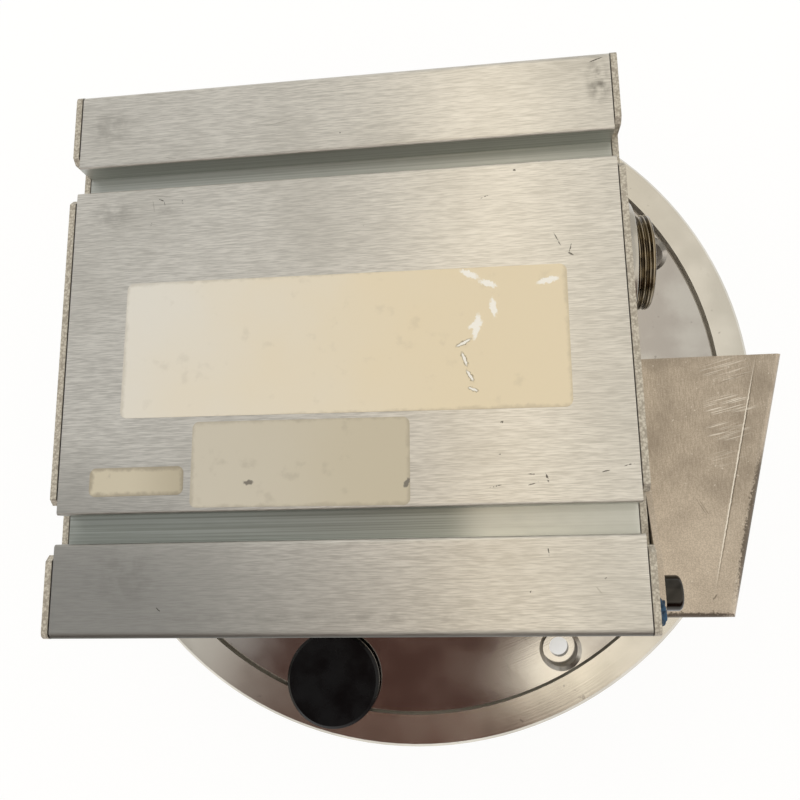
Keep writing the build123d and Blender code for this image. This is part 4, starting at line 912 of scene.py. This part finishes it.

# %% [markdown]
# Printed film is a satin plastic. It doesn't reflect like metal, so the labels look creamy and flat beside
# the brushed face. The film is whiter at its left and painted warmer to the right, as the warm light that
# falls from there, and a thin painted shadow runs along its rim. The wide label is torn to its white core
# in a few strokes and creased in others, with painted shade beside each crease, and the one below it has
# two dark smudges.

# %% Label film
TEARS = on_face(
    (35.6, 12.0, 39.1, 10.7),
    (38.2, 7.2, 38.6, 3.3),
    (34.8, 3.6, 33.6, -2.4),
    (32.8, 0.7, 35.3, 1.6),
    (49.5, 10.9, 54.0, 11.8),
    (31.0, 15.0, 34.8, 13.0),
)
CREASES = on_face(
    (29.3, -4.1, 32.7, -2.4),
    (30.5, -5.7, 31.6, -8.9),
    (31.5, -10.1, 32.9, -12.6),
    (32.0, -14.4, 33.7, -15.1),
)
SMUDGES = on_face((-22.6, -35.4, -20.8, -35.4), (16.2, -37.2, 17.0, -35.8))
CORE = "#fffdf6"
WARM_LIGHT_START = 15.0


def label_film(name, piece, paper, warm_lit_paper, rim_shadow_amount, dirt_amount, wear_and_shade=()):
    """Film: paper painted warmer along X as warm light, a painted shadow line at the rim, smears, and
    (strokes, width, colour) rows.
    """
    material, tree, shader, place = start_material(name, IOR=1.5)
    corners = np.array([v.co for v in piece.data.vertices]) / MM
    low, high = Vector(corners.min(axis=0)), Vector(corners.max(axis=0))
    slow = add(tree, "times", blotches(tree, place, 34.0), (high.x - low.x) * 0.6)
    along = add(tree, "plus", add(tree, "SeparateXYZ", place, out="X"), slow)
    # Painted warm light: the paper is painted warmer towards the right, where the warm light falls.
    painted_warm_light = add(tree, "ease", along, low.x + WARM_LIGHT_START, high.x + WARM_LIGHT_START)
    from_middle = add(tree, "vector unsigned", add(tree, "vector minus", place, (low + high) / 2))
    inward = add(tree, "vector minus", (high - low) / 2, from_middle)
    inward_x, inward_y = (add(tree, "SeparateXYZ", inward, out=axis) for axis in "XY")
    rim = add(tree, "smaller", inward_x, inward_y)
    ragged = add(tree, "plus", rim, add(tree, "times", blotches(tree, place, 2.0, 5.0), -2.0))
    # Painted shadow: a thin dark line along the film's rim. The smears mixed in with it are dirt.
    rim_shadow = add(tree, "times", add(tree, "ease", ragged, 0.3, -0.9), rim_shadow_amount)
    smears = add(tree, "times", add(tree, "ease", blotches(tree, place, 5.0, 6.0), 0.6, 0.75), dirt_amount)
    color = add(tree, "mix", painted_warm_light, paper, warm_lit_paper)
    color = add(tree, "mix", add(tree, "larger", rim_shadow, smears), color, "#8d8474")
    for strokes, width, shade in wear_and_shade:
        color = add(tree, "mix", drawn(tree, place, strokes, width), color, shade)
    rough = add(tree, "ease", painted_warm_light, 0.0, 1.0, 0.34, 0.46)
    coat(tree, shader, color, rough, blotches(tree, place, 0.8, 2.0), 0.01)
    piece.data.materials.append(material)
    print(name, "on", piece.name)


# Each crease is a band of painted shade with white film along its fold. The tears show the white core.
rating_wear_and_crease_shade = [(CREASES, 1.3, "#9c9074"), (CREASES, 0.8, CORE), (TEARS, 1.9, CORE)]
label_film("cream_label_film", rating_label, "#e9e7e0", "#eee0c2", 0.3, 0.12, rating_wear_and_crease_shade)
label_film("grey_label_film", part_label, "#d2ccbd", "#cdc4ae", 0.35, 0.2, [(SMUDGES, 1.4, "#7f7a70")])
label_film("soiled_label_film", narrow_label, "#d3cbb6", "#b5ac96", 0.6, 0.8)

# %% [markdown]
# ## Locking varnish
#
# A drop of blue varnish was brushed over the edge of the end plate and on to the bracket's tab
# after the screw was tightened. It is a thin skin with lumps: an ellipsoid whose radius is
# disturbed by a few waves, so it stays the same at each run.

# %% Varnish drop
VARNISH_SIZE = (1.25, 2.9, 0.85)
VARNISH_OUT = 0.1
VARNISH_Y = -66.4
VARNISH_BELOW = 1.25
WAVE_HEIGHT = 0.16
GRID = (40, 64)
varnish_place = plate_high + Vector((VARNISH_OUT, 0.0, -VARNISH_BELOW)) * MM
varnish_place.y = on_cover(0, VARNISH_Y).y


def varnish_drop():
    """Ellipsoid of three half-axes in mm, its radius times 1 + WAVE_HEIGHT of summed sine waves."""
    polar = np.linspace(0, np.pi, GRID[0])[:, None]
    turn = np.linspace(0, 2 * np.pi, GRID[1], endpoint=False)[None, :]
    waves = np.sin(5 * turn + 3 * polar) + np.sin(3 * turn - 7 * polar + 1.0)
    waves = waves + 0.7 * np.sin(9 * polar + 2 * turn)
    reach = 1 + WAVE_HEIGHT * waves * np.sin(polar)
    y = reach * np.cos(polar)
    x = reach * np.sin(polar) * np.cos(turn)
    z = reach * np.sin(polar) * np.sin(turn)
    size = np.array(VARNISH_SIZE) * MM
    return np.stack([x, y, z], axis=-1) * size + np.array(varnish_place)


varnish = grid_piece("locking_varnish", varnish_drop())
smooth(varnish, 3.0)
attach(varnish, "casing")

# %% Varnish colour
material, tree, shader, place = start_material("blue_locking_varnish", IOR=1.5)
thick = blotches(tree, place, 0.9, 4.0)
color = add(tree, "mix", add(tree, "ease", thick, 0.35, 0.65), "#0d3049", "#15486b")
coat(tree, shader, color, add(tree, "ease", thick, 0.3, 0.7, 0.25, 0.5), thick, 0.2)
varnish.data.materials.append(material)
print(material.name, "on", varnish.name)
